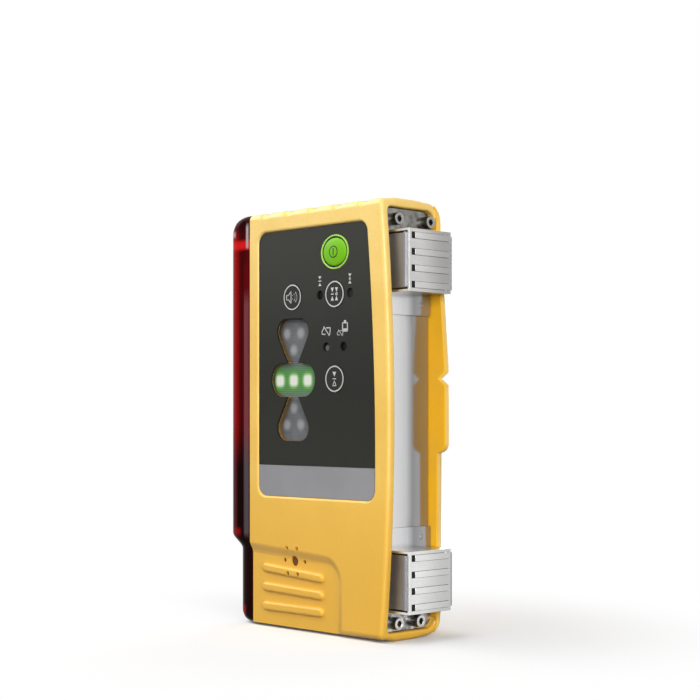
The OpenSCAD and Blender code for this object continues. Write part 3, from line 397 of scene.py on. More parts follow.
def window_finish():
    """Dark red glossy window with painted light: a lit red upper part with painted highlight bands, a near-black
    lower part, a painted dark top, a painted reflection by the front seam and painted glints; the attribute
    'around' runs from the front seam round to the rear seam.
    """
    f = Finish("dark_red_window")
    around = f.attribute("around")
    # Painted light: bright red bands round the upper part and a near-black lower part stand in for the light on and
    # through the window.
    upper = f.ramp(around, {
        0: "5C0609", 0.07: "400406", 0.1: "4A0205", 0.13: "8A0305", 0.165: "A00204", 0.2: "900204",
        0.235: "6A0406", 0.26: "380305", 0.32: "480407", 0.6: "6A0507", 0.9: "7A0608", 1: "600507"})
    lower = f.ramp(around, {
        0: "200304", 0.07: "1A0304", 0.1: "120202", 0.13: "080101", 0.15: "4E070B", 0.165: "700A10",
        0.185: "360408", 0.21: "140203", 0.26: "060101", 0.6: "260406", 0.9: "4A0508", 1: "340508"})
    foot = f.along(Z, 70, 96, 1.0, 0.0)
    body = f.mix(foot, upper, lower)
    # Painted highlight: a bright red band below the top.
    body = f.mix(f.times(f.strip(Z, 177.5, 0.8, 3.2), 0.9), body, "E01C1C")
    # Painted shade: darker towards the top.
    body = f.mix(f.along(Z, 180, 187, 0.0, 0.85), body, "240305")
    # Painted reflection: a pale strip beside the front seam.
    edge = f.times(f.step(around, 0.008, 0.016), f.step(around, 0.058, 0.07, 1.0, 0.0),
                   f.along(Z, 38, 42), f.along(Z, 166, 172, 1.0, 0.0))
    seam_reflection = f.mix(f.along(Z, 148, 158), "7A3C42", "60060C")
    body = f.mix(edge, body, f.mix(foot, seam_reflection, "554A4E"))
    # Painted glint: a pale streak near the top of the front seam.
    pale = f.times(f.step(around, 0.012, 0.02), f.step(around, 0.036, 0.048, 1.0, 0.0),
                   f.along(Z, 175, 177), f.along(Z, 185, 188.5, 1.0, 0.0))
    body = f.mix(pale, body, "B4A2A4")
    # Painted glint near the top.
    glint = f.times(f.strip(Z, 183, 0.3, 2.2), f.band(around, 0.2, 0.015, 0.055), 0.8)
    body = f.mix(glint, body, "D8B8B8")
    # Painted red glints at the step and at the foot.
    for height, reach in ((41.5, 3.0), (4.5, 3.5)):
        red_glint = f.times(f.strip(Z, height, 0.2, reach), f.band(around, 0.15, 0.02, 0.07), 0.75)
        body = f.mix(red_glint, body, "A80C14")
    streaks = f.noise(3.0, 2.0, (1, 1, 0.05))
    body = f.mix(f.step(streaks, 0.4, 0.8, 0.0, 0.25), body, "240204")
    return f.look(body, f.spread(streaks, 0.08, 0.14), 0.012)


def sleeve_finish():
    """Inner edge of the display opening in painted light and shade: amber-brown for the shaded yellow wall, greener
    beside the lit bar as painted light from it, and darkest at the top as painted shade.
    """
    f = Finish("amber_display_edge")
    patches = f.noise(2)
    tone = f.ramp(f.along(Z, DISPLAY_Z - 28, DISPLAY_Z + 28), {
        0: "7C6034", 0.3: "5E4A2C", 0.45: "3C4228", 0.55: "3C4228", 0.66: "66502C", 0.9: "564630", 1: "2A2620"})
    return f.look(f.mix(f.spread(patches, 0.0, 0.25), tone, "4A3E2C"), f.spread(patches, 0.4, 0.5), 0.2)


def mesh_finish(pitch=0.5):
    """Brown woven mesh behind the speaker holes."""
    f = Finish("brown_speaker_mesh")
    weave = f.times(f.wave(X, pitch), f.wave(Z, pitch))
    f.bump(weave, 0.4, 0.1)
    return f.look(f.mix(f.step(weave, -0.6, 0.6), "4A2606", "7A4410"), 0.7)


def lamp_finish():
    """Lit lamp: a pale green core."""
    f = Finish("lit_green_lamp")
    tone = f.mix(f.noise(1.5), "B8F5B0", "E8FFE2")
    f.feed(Emission_Color=tone, Emission_Strength=1.0)
    return f.look(tone)


yellow = yellow_grain("yellow_grained_shell", shell_tone_painted_light, 0.65)
yellow_cover = yellow_grain("yellow_grained_cover", cover_tone_painted_light, 0.25)
black_rubber = moulded("black_rubber_seal", "101010", "0B0B0B", 0.7, 0.3, specular=0.25)
green_silicone = moulded("green_power_silicone", "7CC41E", "74BA1A", 0.42, 0.4, 0.08, 0.02, 0.18)
pale_green = moulded("pale_green_power_ring", "B0E060", "A4D654", 0.45, 0.4, 0.08, 0.02, 0.35)
dark_key = moulded("dark_key_film", "2A2A26", "262622", 0.55, 0.25, 0.12, 0.02, 0.15)
pale_ink = moulded("pale_printed_ink", "D2D2CE", "C6C6C2", 0.6, 0.3, 0.1, 0.01, 0.2)
dark_ink = moulded("dark_printed_ink", "20301A", "1A2814", 0.5, 0.3, 0.1, 0.01, 0.2)
turned_steel = brushed("turned_screw_steel", "D2D2D2", "B4B4B6", 0.26, (1, 1, 1), 0.25, 0.05)
plate_steel = plate_finish()
strap_steel = brushed("brushed_strap_steel", "EAEAE8", "DCDCDA", 0.3, (1, 0.03, 1), rear="C2C2C0")
pole_steel = brushed("ground_pole_steel", "EEEEEC", "E0E0DE", 0.28, (1, 0.03, 1), rear="C6C6C4")
upper_strap_steel = brushed("upper_strap_steel", "D2D1CF", "C2C1BF", 0.3, (1, 0.03, 1), rear="A2A19F")
upper_pole_steel = brushed("upper_pole_steel", "D8D7D5", "C8C7C5", 0.28, (1, 0.03, 1), rear="A8A7A5")
block_steel = brushed("dark_plated_block", "8C8C90", "88888C", 0.38, (1, 1, 0.1), 0.3, 0.0, metallic=0.8)

SLOT_FINISH = {
    "yellow_shell": yellow,
    "black_rubber": black_rubber,
    "red_window": window_finish(),
    "black_plastic": moulded("black_inner_plastic", "161616", "0F0F10", 0.55, 0.4),
    "board": moulded("green_coated_board", "14502C", "0E4224", 0.35, 1.2, 0.1),
    "dark_panel": panel_finish(),
    "grey_strip": moulded("grey_strip_film", "979699", "929194", 0.5, 0.3, 0.1, 0.02, 0.2),
    "smoky_window": display_finish(),
    "lit_lamp": lamp_finish(),
    "unlit_lamp": moulded("clear_unlit_lamp", "9FA0A4", "94959A", 0.3, 0.6, 0.05, 0.01),
    "green_key": green_silicone,
    "dark_key": dark_key,
    "steel": turned_steel,
    "brown_mesh": mesh_finish(),
    "cell_sleeve": moulded("dark_cell_sleeve", "22242A", "1B1D22", 0.32, 1.0, 0.05, 0.01),
    "steel_plate": strap_steel,
    "pole_steel": pole_steel,
    "magnet_block": block_steel,
}
NODE_SLOT = {s["node"]: s["material_slot"] for s in frame["record"]["subparts"]}
NODE_BODY = {n: b for b, nodes in frame["record"]["behaviour"]["bodies"].items() for n in nodes}


# Mesh helpers

def join_flat(bm):
    bmesh.ops.dissolve_limit(bm, angle_limit=0.002, verts=bm.verts, edges=bm.edges)


def copy_node(node):
    """A merged copy of a CAD node's mesh, with its flat faces joined up."""
    bm = bmesh.new()
    bm.from_mesh(frame["nodes"][node].data)
    bmesh.ops.remove_doubles(bm, verts=bm.verts, dist=2e-6)
    join_flat(bm)
    return bm


def outward(bm):
    """The same mesh with every face turned outwards."""
    bmesh.ops.recalc_face_normals(bm, faces=bm.faces)
    return bm


def bevel_edges(bm, edges, radius, segments, clamp=False):
    bmesh.ops.bevel(bm, geom=edges, offset=radius * MM, offset_type="OFFSET", segments=segments,
                    profile=0.5, affect="EDGES", clamp_overlap=clamp)


def round_edges(bm, pick, radius, segments):
    """Rounds the edges picked by their two ends and middle, in the housing's millimetres."""
    chosen = []
    for edge in bm.edges:
        a, b = (housing(v.co) for v in edge.verts)
        if len(edge.link_faces) == 2 and pick(edge, a, b, (a + b) / 2):
            chosen.append(edge)
    bevel_edges(bm, chosen, radius, segments)


def add_object(name, data):
    made = bpy.data.objects.new(name, data)
    bpy.context.scene.collection.objects.link(made)
    return made


def take_mesh(bm, name, sharp=None):
    """Turns a bmesh into a mesh; with an angle, it is shaded smooth up to it."""
    mesh = bpy.data.meshes.new(name)
    bm.to_mesh(mesh)
    bm.free()
    if sharp:
        for polygon in mesh.polygons:
            polygon.use_smooth = True
        mesh.set_sharp_from_angle(angle=math.radians(sharp))
    return mesh


def settle(piece):
    """Turns a piece's modifiers into plain mesh."""
    bpy.context.view_layer.update()
    graph = bpy.context.evaluated_depsgraph_get()
    mesh = bpy.data.meshes.new_from_object(piece.evaluated_get(graph), depsgraph=graph)
    piece.modifiers.clear()
    old = piece.data
    piece.data = mesh
    bpy.data.meshes.remove(old)
    mesh.name = piece.name


def hand_over(piece, finish, body, stands_for):
    """Gives a piece its finish, puts it on its body and hides the CAD parts it stands for."""
    settle(piece)
    piece.data.materials.clear()
    piece.data.materials.append(finish)
    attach(piece, body)
    if stands_for:
        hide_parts(*stands_for)


def show(bm, name, finish, body="housing", stands_for=(), sharp=38):
    """Makes a mesh a finished piece on a body."""
    piece = add_object(name, take_mesh(bm, name, sharp))
    piece.modifiers.new("even_shading", "WEIGHTED_NORMAL").keep_sharp = True
    hand_over(piece, finish, body, stands_for)


def loft(bm, rings, loop=False):
    """Joins rings of points, each with the same count; closes both ends, or joins the last to the first."""
    rows = [[bm.verts.new(p) for p in ring] for ring in rings]
    count = len(rows[0])
    for a, b in zip(rows, rows[1:] + (rows[:1] if loop else [])):
        for i in range(count):
            j = (i + 1) % count
            bm.faces.new((a[i], a[j], b[j], b[i]))
    if not loop:
        bm.faces.new(list(reversed(rows[0])))
        bm.faces.new(rows[-1])
    return rows


def dress(node, radius, finish, steep=40):
    """A CAD node's shape with every steep edge softened by one small radius."""
    bm = copy_node(node)
    limit = math.cos(math.radians(steep))
    chosen = [e for e in bm.edges if len(e.link_faces) == 2
              and e.link_faces[0].normal.dot(e.link_faces[1].normal) < limit]
    bevel_edges(bm, chosen, radius, 2, clamp=True)
    show(bm, node + "_dressed", finish, NODE_BODY[node], (node,))


# Housing

FORWARD, RIGHT = Vector((0, -1, 0)), Vector((1, 0, 0))
SPEAKER_R, SPEAKER_SMALL_R, SPEAKER_RING_R = 2.4, 1.0, 6.7
SMALL_HOLES = [(DISPLAY_X + SPEAKER_RING_R * c, SPEAKER_Z + SPEAKER_RING_R * s, SPEAKER_SMALL_R)
               for c, s in turns(6)]
SPEAKER_HOLES = [(DISPLAY_X, SPEAKER_Z, SPEAKER_R)] + SMALL_HOLES
RIB_HOLES = SMALL_HOLES[4:]
SCOOP_WIDE, SCOOP_DEEP = 4.4, 2.95
GRIP_LEAN = 2.6
RIB_R, LIP_R, OUTER_R, INNER_R = 1.42, 1.3, 1.9, 1.1
TAB_DROP, TAB_R, NOTCH_FILL = 3.8, 3.1, 0.9
COVER_OUTER_R, COVER_INNER_R = 0.9, 0.5
END_T = 1.2


def grip_top(x):
    """Height of the grip recess's upper edge."""
    return GRIP_H - math.tan(math.radians(GRIP_FALL)) * (BODY_W + x)


def facing(edge, way):
    """Whether one face at the edge looks along way and the other across it."""
    first, second = (f.normal.dot(way) for f in edge.link_faces)
    return max(first, second) > 0.9 and min(abs(first), abs(second)) < 0.35


def on_front(edge, a, b, y=0.0):
    return near(a.y, y) and near(b.y, y) and facing(edge, FORWARD)


def crown_ends(bm, top_low, top_high, base_low, base_high):
    """Lets the top and the base fall away towards the front and the rear."""
    for vert in bm.verts:
        at = housing(vert.co)
        fall = crown(at.y, *TOP_CROWN) * ease(top_low, top_high, at.z)
        rise = crown(at.y, *BASE_CROWN) * (1 - ease(base_low, base_high, at.z))
        vert.co.z += (rise - fall) * MM


def slice_ends(bm):
    """Cuts the flat top and base across, so that they can be crowned."""
    def at_end(face):
        heights = [housing(v.co).z for v in face.verts]
        return min(heights) > BODY_H - END_T or max(heights) < END_T + 0.1

    for y in CROWN_CUTS:
        faces = [f for f in bm.faces if at_end(f)]
        edges = {e for f in faces for e in f.edges}
        verts = {v for f in faces for v in f.verts}
        bmesh.ops.bisect_plane(bm, geom=list(verts) + list(edges) + faces, plane_co=place(0, y, 0),
                               plane_no=(0, 1, 0), dist=1e-7)


def close_holes(bm):
    """Fills the speaker holes, so that the grip and its ribs can be rounded first."""
    for x, z, r in SPEAKER_HOLES:
        def inside(part):
            found = [housing(v.co) for v in part.verts]
            return all(math.hypot(at.x - x, at.z - z) < r + 0.1 and at.y < FRONT_WALL + 0.3 for at in found)

        bmesh.ops.delete(bm, geom=[f for f in bm.faces if inside(f)], context="FACES")
        bmesh.ops.holes_fill(bm, edges=[e for e in bm.edges if e.is_boundary and inside(e)], sides=0)
    join_flat(outward(bm))
    spare = [v for v in bm.verts if len(v.link_edges) == 2 and len(v.link_faces) == 2
             and v.link_faces[0].normal.dot(v.link_faces[1].normal) > 0.9999]
    bmesh.ops.dissolve_verts(bm, verts=spare)


def bore_holes(bm):
    """Cuts the round speaker holes, and a scoop where each top groove runs out at the front."""
    cutter_bm = bmesh.new()
    for x, z, r in SPEAKER_HOLES:
        loft(cutter_bm, [oval(x, y, z, r, r, 40) for y in (-1, FRONT_WALL + 0.5)])
    for i in range(GROOVE_N):
        at = place(-GROOVE_X - i * GROOVE_PITCH, 0, TOP_Z - crown(0, *TOP_CROWN))
        ball = bmesh.ops.create_uvsphere(cutter_bm, u_segments=32, v_segments=16, radius=1.0)
        for vert in ball["verts"]:
            vert.co = at + vert.co * Vector((SCOOP_WIDE, SCOOP_DEEP, SCOOP_DEEP)) * MM
    blank = add_object("blank", take_mesh(bm, "blank"))
    cutter = add_object("cutter", take_mesh(outward(cutter_bm), "cutter"))
    cut = blank.modifiers.new("holes", "BOOLEAN")
    cut.object, cut.operation, cut.solver = cutter, "DIFFERENCE", "EXACT"
    settle(blank)
    bored = bmesh.new()
    bored.from_mesh(blank.data)
    for piece in (blank, cutter):
        mesh = piece.data
        bpy.data.objects.remove(piece)
        bpy.data.meshes.remove(mesh)
    return bored


def cut_grip_wall(bm):
    """Cuts the wall of the grip recess into rows, at the depths where the round of the base meets it."""
    def on_side(vert):
        at = housing(vert.co)
        return near(at.x, -GRIP_X, 0.05) and at.z < 2.4 and at.y < GRIP_DEPTH + 0.03

    def wall_of(a, b):
        shared = set(a.link_faces) & set(b.link_faces)
        return next((f for f in shared if abs(f.normal.y) < 0.1), None)

    foot = sorted((v for v in bm.verts if on_side(v)), key=lambda v: v.co.y)
    depths = [housing(v.co).y for v in foot[1:-1]]
    sides = []
    for edge in bm.edges:
        a, b = sorted((housing(v.co) for v in edge.verts), key=lambda p: p.y)
        upright = near(a.y, 0) and near(b.y, GRIP_DEPTH) and near(a.x, b.x) and near(a.z, b.z)
        if upright and a.x < -GRIP_X + 0.05 and a.z < GRIP_H + 0.1:
            sides.append(edge)
    columns = [foot]
    for edge in sides:
        front, back = sorted(edge.verts, key=lambda v: v.co.y)
        column = [front]
        for depth in depths:
            at = housing(column[-1].co).y
            rest = next(e for e in column[-1].link_edges if back in e.verts)
            column.append(bmesh.utils.edge_split(rest, column[-1], (depth - at) / (GRIP_DEPTH - at))[1])
        columns.append(column + [back])
    for i, first in enumerate(columns):
        for second in columns[:i]:
            if wall_of(first[1], second[1]) is not None:
                for a, b in zip(first[1:-1], second[1:-1]):
                    bmesh.utils.face_split(wall_of(a, b), a, b)


def lean_grip_wall(bm):
    """Turns the upright wall of the grip recess into a soft slope."""
    cut_grip_wall(bm)
    fall = math.radians(GRIP_FALL)
    middle_x = -GRIP_X - GRIP_R
    middle_z = grip_top(middle_x) - GRIP_R / math.cos(fall)
    tangent_x = middle_x + GRIP_R * math.sin(fall)
    for vert in bm.verts:
        at = housing(vert.co)
        if not -0.03 < at.y < GRIP_DEPTH + 0.03 or at.x > -GRIP_X + 0.05 or at.z > GRIP_H + 0.1:
            continue
        if at.x < tangent_x + 0.01:
            on_wall, way = near(at.z, grip_top(at.x), 0.06), Vector((math.sin(fall), math.cos(fall)))
        elif at.z > middle_z:
            away = Vector((at.x - middle_x, at.z - middle_z))
            on_wall, way = near(away.length, GRIP_R, 0.1), away.normalized()
        else:
            on_wall, way = near(at.x, -GRIP_X, 0.05), Vector((1, 0))
        if not on_wall:
            continue
        if near(at.x, -BODY_W, 0.05):
            way = Vector((0, 1))
        depth = min(max(at.y / GRIP_DEPTH, 0), 1)
        shift = GRIP_LEAN * 2 * math.sin(math.asin(1 - 2 * depth) / 3)
        vert.co.x += way.x * shift * MM
        vert.co.z += way.y * shift * MM


def make_front_shell():
    """Yellow tub: soft lip round the panel, flowing grip recess, round ribs, full outer edges."""
    bm = copy_node("front_shell")
    close_holes(bm)
    bmesh.ops.dissolve_degenerate(bm, dist=0.05 * MM, edges=bm.edges)
    slice_ends(bm)
    crown_ends(bm, BODY_H - END_T, BODY_H - END_T + 0.1, END_T - 0.05, END_T + 0.05)

    def right_end(edge, m):
        return m.x > -2.5 and m.y < SEAM_Y - 0.05 and facing(edge, RIGHT)

    def in_channel(m):
        return m.y > FRONT_WALL - 0.1 and CHANNEL_IN - 0.1 < m.z < BODY_H - CHANNEL_IN + 0.1

    def outer_right(edge, a, b, m):
        return right_end(edge, m) and not in_channel(m)

    def inner_right(edge, a, b, m):
        return right_end(edge, m) and in_channel(m)

    def panel_lip(edge, a, b, m):
        inside = -PANEL_LEFT - 0.1 < m.x < -PANEL_RIGHT + 0.1 and PANEL_FOOT - 0.1 < m.z < PANEL_TOP + 0.1
        return inside and on_front(edge, a, b)

    def rib_top(edge, a, b, m):
        return m.x < -38 and m.z < 28 and on_front(edge, a, b, GRIP_DEPTH - RIB_PROUD)

    round_edges(bm, rib_top, RIB_R, 5)
    lean_grip_wall(bm)
    round_edges(bm, panel_lip, LIP_R, 5)
    round_edges(bm, outer_right, OUTER_R, 6)
    round_edges(bm, inner_right, INNER_R, 4)
    show(bore_holes(bm), "front_shell_moulded", yellow, "housing", ("front_shell",))


def make_rear_cover():
    """Rear cover with soft edges along the open side, crowned with the shell."""
    bm = copy_node("rear_cover")
    crown_ends(bm, BODY_H - 6, BODY_H + 0.5, -0.6, 5.2)

    def right_edge(edge, m):
        return m.x > -1.6 and edge.calc_face_angle(0) > 0.6 and max(f.normal.x for f in edge.link_faces) > 0.3

    def on_seam(a, b):
        return near(a.y, SEAM_Y, 0.06) and near(b.y, SEAM_Y, 0.06)

    def outer_edge(edge, a, b, m):
        return right_edge(edge, m) and not on_seam(a, b) and max(f.normal.y for f in edge.link_faces) > 0.05

    def inner_edge(edge, a, b, m):
        return right_edge(edge, m) and on_seam(a, b) and 7 < m.z < BODY_H - 7

    def tab_corner(edge, a, b, m):
        along = abs(a.y - b.y) > 1 and near(a.x, b.x, 0.05) and near(a.z, b.z, 0.05)
        return along and m.x > 0.5 and m.z < 100 and edge.is_convex and edge.calc_face_angle(0) > 0.4

    for vert in bm.verts:
        at = housing(vert.co)
        if near(at.x, TAB_OUT, 0.05) and near(at.z, TAB_FOOT_Z + TAB_OUT, 0.05):
            vert.co.z -= TAB_DROP * MM
        elif near(at.x, 0, 0.05) and near(at.z, DISPLAY_Z, 0.05):
            vert.co.x += NOTCH_FILL * MM
    round_edges(bm, tab_corner, TAB_R, 6)
    round_edges(bm, outer_edge, COVER_OUTER_R, 4)
    round_edges(bm, inner_edge, COVER_INNER_R, 3)
    show(bm, "rear_cover_moulded", yellow_cover, "housing", ("rear_cover",))


def make_speaker_cushions():
    """Woven mesh pushed up into each speaker hole, a little below its mouth."""
    bm = bmesh.new()
    for hole in SPEAKER_HOLES:
        x, z, r = hole
        mouth = GRIP_DEPTH - 1.2 if hole in RIB_HOLES or z > GRIP_H else GRIP_DEPTH
        profile = ((0.97, 2.0), (0.97, 0.75), (0.8, 0.6), (0.45, 0.5))
        loft(bm, [oval(x, mouth + down, z, r * share, r * share, 24) for share, down in profile])
    show(outward(bm), "speaker_mesh_cushions", SLOT_FINISH["brown_mesh"], "housing")


# Receiving window

WINDOW_OUT, WINDOW_R, WINDOW_FOOT_OUT, WINDOW_FOOT_R = 20.9, 13.4, 15.8, 12.8
WINDOW_TOP_R, WINDOW_FOOT_END_R, FRONT_R, REAR_R = 9.0, 6.0, 3.0, 7.0
STEP_Z, STEP_H, STEP_ROWS = 33.2, 7.6, 10
ARC_STEPS = 20
END_SHARES = (0, 0.02, 0.06, 0.12, 0.2, 0.3, 0.42, 0.56, 0.72, 0.86, 1)


def drawn_in(z, z_end, r):
    """How far a rounded end has drawn in at a height."""
    over = max(r - abs(z_end - z), 0)
    return r - math.sqrt(max(r * r - over * over, 0))


def window_ring(z, reach, full_r, front, rear):
    """One level outline of the window, from the front seam round to the rear seam."""
    r = min(full_r, reach - 2)
    x = r - BODY_W - reach
    bend_x = -BODY_W - 0.35 * (reach - r)
    points = [(-BODY_W, front), (bend_x, front)]
    for start, y in ((270, front + r), (180, rear - r)):
        for i in range(ARC_STEPS + 1):
            turn = math.radians(start - 90 * i / ARC_STEPS)
            points.append((x + r * math.cos(turn), y + r * math.sin(turn)))
    points += [(bend_x, rear), (-BODY_W, rear)]
    return [place(px, py, z) for px, py in points]


def window_end(z_end, way, reach, full_r, end_r, front):
    """Outlines of a rounded end, from the lowest up; way is 1 at the foot and -1 at the top."""
    rings = []
    for share in END_SHARES[::way]:
        z = z_end + way * end_r * share
        rings.append(window_ring(z, reach - drawn_in(z, z_end, end_r), full_r,
                                 front + drawn_in(z, z_end, FRONT_R), BODY_D - drawn_in(z, z_end, REAR_R)))
    return rings


def make_window():
    """Closed red window, lofted through level outlines, with soft ends and a flowing step."""
    rings = window_end(BASE_Z, 1, WINDOW_FOOT_OUT, WINDOW_FOOT_R, WINDOW_FOOT_END_R, GRIP_DEPTH)
    rings.append(window_ring(20, WINDOW_FOOT_OUT, WINDOW_FOOT_R, GRIP_DEPTH, BODY_D))
    for i in range(STEP_ROWS + 1):
        share = i / STEP_ROWS
        eased = ease(0, 1, share)
        rings.append(window_ring(
            STEP_Z + STEP_H * share, WINDOW_FOOT_OUT + (WINDOW_OUT - WINDOW_FOOT_OUT) * eased,
            WINDOW_FOOT_R + (WINDOW_R - WINDOW_FOOT_R) * eased, GRIP_DEPTH * (1 - eased), BODY_D))
    rings += [window_ring(z, WINDOW_OUT, WINDOW_R, 0, BODY_D) for z in (60, 100, 140, 170)]
    rings += window_end(TOP_Z, -1, WINDOW_OUT, WINDOW_R, WINDOW_TOP_R, 0)
    bm = bmesh.new()
    layer = bm.verts.layers.float.new("around")
    for row in loft(bm, rings):
        marks = [0.0]
        for a, b in zip(row, row[1:]):
            marks.append(marks[-1] + (b.co - a.co).length)
        for vert, mark in zip(row, marks):
            vert[layer] = mark / marks[-1]
    crown_ends(bm, BODY_H - 8, BODY_H - 1, -0.6, 5.2)
    show(outward(bm), "receiving_window_glossy", SLOT_FINISH["red_window"], "housing", ("receiving_window",),
         sharp=50)


# Display

BAR_W, BAR_H, LOBE_W, LOBE_REACH, LOBE_R, WAIST_W = 30.2, 15.7, 21.7, 28.1, 6.0, 7.6
BAR_TOP = BAR_H / 2
RIB_RISE, DISPLAY_GAP, DISPLAY_COLUMNS = 0.11, 0.1, 24


def display_half_width(z):
    """Half the width of the display at a height above its middle."""
    if z <= BAR_TOP:
        return BAR_W / 2 - BAR_TOP + math.sqrt(max(BAR_TOP ** 2 - z * z, 0))
    cx, cz = LOBE_W / 2 - LOBE_R, LOBE_REACH - LOBE_R
    way = Vector((WAIST_W / 2 - cx, BAR_TOP - cz))
    turn = math.atan2(way.y, way.x) + math.acos(LOBE_R / way.length)
    touch = Vector((cx + LOBE_R * math.cos(turn), cz + LOBE_R * math.sin(turn)))
    if z < touch.y:
        share = (z - BAR_TOP) / (touch.y - BAR_TOP)
        return WAIST_W / 2 + (touch.x - WAIST_W / 2) * share
    return cx + math.sqrt(max(LOBE_R ** 2 - (z - cz) ** 2, 0))


def both_halves(upper):
    """Heights and half widths, mirrored below the middle."""
    return [(-z, w) for z, w in reversed(upper[1:])] + upper


def make_display():
    """Ribbed smoky window: level ribs across the bar and both lobes, on a closed slab."""
    step = RIB_PITCH / 4
    levels = [i * step for i in range(int(LOBE_REACH / step) + 1)] + [LOBE_REACH - DISPLAY_GAP]
    heights = [(z, display_half_width(z)) for z in levels]
    bar = [h for h in heights if h[0] < BAR_TOP - 0.05] + [(BAR_TOP, display_half_width(BAR_TOP))]
    lobe = [(BAR_TOP + 0.01, WAIST_W / 2)] + [h for h in heights if h[0] > BAR_TOP + 0.05]
    rings = []
    for z, w in both_halves(bar + lobe):
        w = max(w - DISPLAY_GAP, 0.2)
        rise = RIB_RISE * (0.5 + 0.5 * math.cos(math.tau * z / RIB_PITCH))
        line = [DISPLAY_X - w + 2 * w * i / DISPLAY_COLUMNS for i in range(DISPLAY_COLUMNS + 1)]
        rings.append([place(x, DISPLAY_Y + RIB_RISE - rise, DISPLAY_Z + z) for x in line]
                     + [place(x, FRONT_WALL + 0.9, DISPLAY_Z + z) for x in reversed(line)])
    bm = bmesh.new()
    layer = bm.verts.layers.float.new("from_left")
    for row in loft(bm, rings):
        for vert in row:
            vert[layer] = (vert.co - row[0].co).x / MM
    show(outward(bm), "display_window_ribbed", SLOT_FINISH["smoky_window"], "housing", ("display_window",),
         sharp=60)


def display_outline(step=0.6):
    """Points round the display's opening, from its lower right corner upwards."""
    count = int(LOBE_REACH / step)
    half = [(LOBE_REACH * i / count, display_half_width(LOBE_REACH * i / count)) for i in range(count + 1)]
    bar = [h for h in half if h[0] < BAR_TOP - 0.2] + [(BAR_TOP - 0.1, display_half_width(BAR_TOP - 0.1))]
    lobe = [(BAR_TOP + 0.02, WAIST_W / 2 + 0.02)] + [h for h in half if h[0] > BAR_TOP + 0.2]
    right = both_halves(bar + lobe)
    return [(w, z) for z, w in right] + [(-w, z) for z, w in reversed(right)]


def make_display_sleeve():
    """Thin lining of the display's opening, which carries the painted shade of its wall."""
    outline = display_outline()

    def inset(by):
        found = []
        for i, (x, z) in enumerate(outline):
            (ax, az), (bx, bz) = outline[i - 1], outline[(i + 1) % len(outline)]
            way = Vector((bx - ax, bz - az)).normalized()
            found.append((x - way.y * by, z + way.x * by))
        return found

    bm = bmesh.new()
    loft(bm, [[place(DISPLAY_X + x, y, DISPLAY_Z + z) for x, z in inset(by)]
              for by, y in ((0.02, 3.5), (0.02, 1.95), (0.12, 1.95), (0.12, 3.5))], loop=True)
    show(outward(bm), "display_window_edge", sleeve_finish(), "housing")


# Printing

PRINT_T = 0.03


def stroke(points, wide):
    """Quads along a line of points, as flat shapes."""
    shapes = []
    for a, b in zip(points, points[1:]):
        a, b = Vector(a), Vector(b)
        way = (b - a).normalized()
        side = Vector((-way.y, way.x)) * wide / 2
        over = way * wide * 0.3
        shapes.append([tuple(c) for c in (a - over + side, a - over - side, b + over - side, b + over + side)])
    return shapes


def ring_shapes(r, wide, steps=64):
    """A flat ring, as quads."""
    ring = turns(steps)
    outer, inner = ([(size * c, size * s) for c, s in ring + ring[:1]] for size in (r, r - wide))
    return [[a, b, d, c] for a, b, c, d in zip(outer, outer[1:], inner, inner[1:])]


def moved(shapes, x, z, size=1.0):
    return [[(x + p * size, z + q * size) for p, q in s] for s in shapes]


def hourglass(x, middle="dash", hollow=False, half=0.95, reach=2.9, tall=2.0, dot=0.72):
    """A downward and an upward triangle with a dash or a dot between them."""
    shapes = [[(x - half, reach), (x, reach - tall), (x + half, reach)]]
    foot = [(x - half, -reach), (x, -reach + tall), (x + half, -reach), (x - half, -reach)]
    shapes += stroke(foot, 0.4) if hollow else [foot[:3]]
    if middle == "dash":
        return shapes + stroke([(x - half * 0.8, 0), (x + half * 0.8, 0)], 0.42)
    return shapes + moved(ring_shapes(dot, dot * 0.55, 20), x, 0)


def speaker_mark():
    """A loudspeaker's outline with three arcs."""
    cone = [(-3.9, 1.0), (-2.6, 1.0), (-0.8, 2.7), (-0.8, -2.7), (-2.6, -1.0), (-3.9, -1.0), (-3.9, 1.0)]
    shapes = stroke(cone, 0.46)
    for r in (1.5, 2.8, 4.1):
        angles = [math.radians(t) for t in range(-40, 41, 10)]
        shapes += stroke([(-0.9 + r * math.cos(t), r * 0.8 * math.sin(t)) for t in angles], 0.5)
    return shapes


def crossed_mark():
    """An open beam outline with a slash."""
    left = [(-1.3, 1.25), (-2.5, -0.35), (-2.3, -1.2), (-0.5, -1.3)]
    right = [(0.1, 1.25), (2.4, 1.25), (2.2, -1.3), (1.9, -1.3)]
    return [s for line in (left, right, [(-1.3, 1.75), (1.9, -1.9)]) for s in stroke(line, 0.4)]


def battery_mark():
    """An upright cell with a low charge."""
    outline = [(-1.35, -1.9), (-1.35, 1.3), (1.35, 1.3), (1.35, -1.9), (-1.35, -1.9)]
    tip = [(-0.6, 1.4), (0.6, 1.4), (0.6, 2.3), (-0.6, 2.3)]
    charge = [(-1.2, -1.8), (1.2, -1.8), (1.2, -0.9), (-1.2, -0.9)]
    return stroke(outline, 0.45) + [tip, charge]


def print_on(name, shapes, at, y, body, finish=pale_ink, drape=None):
    """Thin raised printing on a face; drape gives the face's own depth at a place if it is domed."""
    bm = bmesh.new()
    for shape in shapes:
        area = sum(a[0] * b[1] - b[0] * a[1] for a, b in zip(shape, shape[1:] + shape[:1]))
        points = shape if area > 0 else list(reversed(shape))
        base = [(at[0] + p, y + (drape(p, q) if drape else 0), at[1] + q) for p, q in points]
        loft(bm, [[place(x, deep + side, z) for x, deep, z in base] for side in (PRINT_T, -PRINT_T)])
    show(bm, name, finish, body)


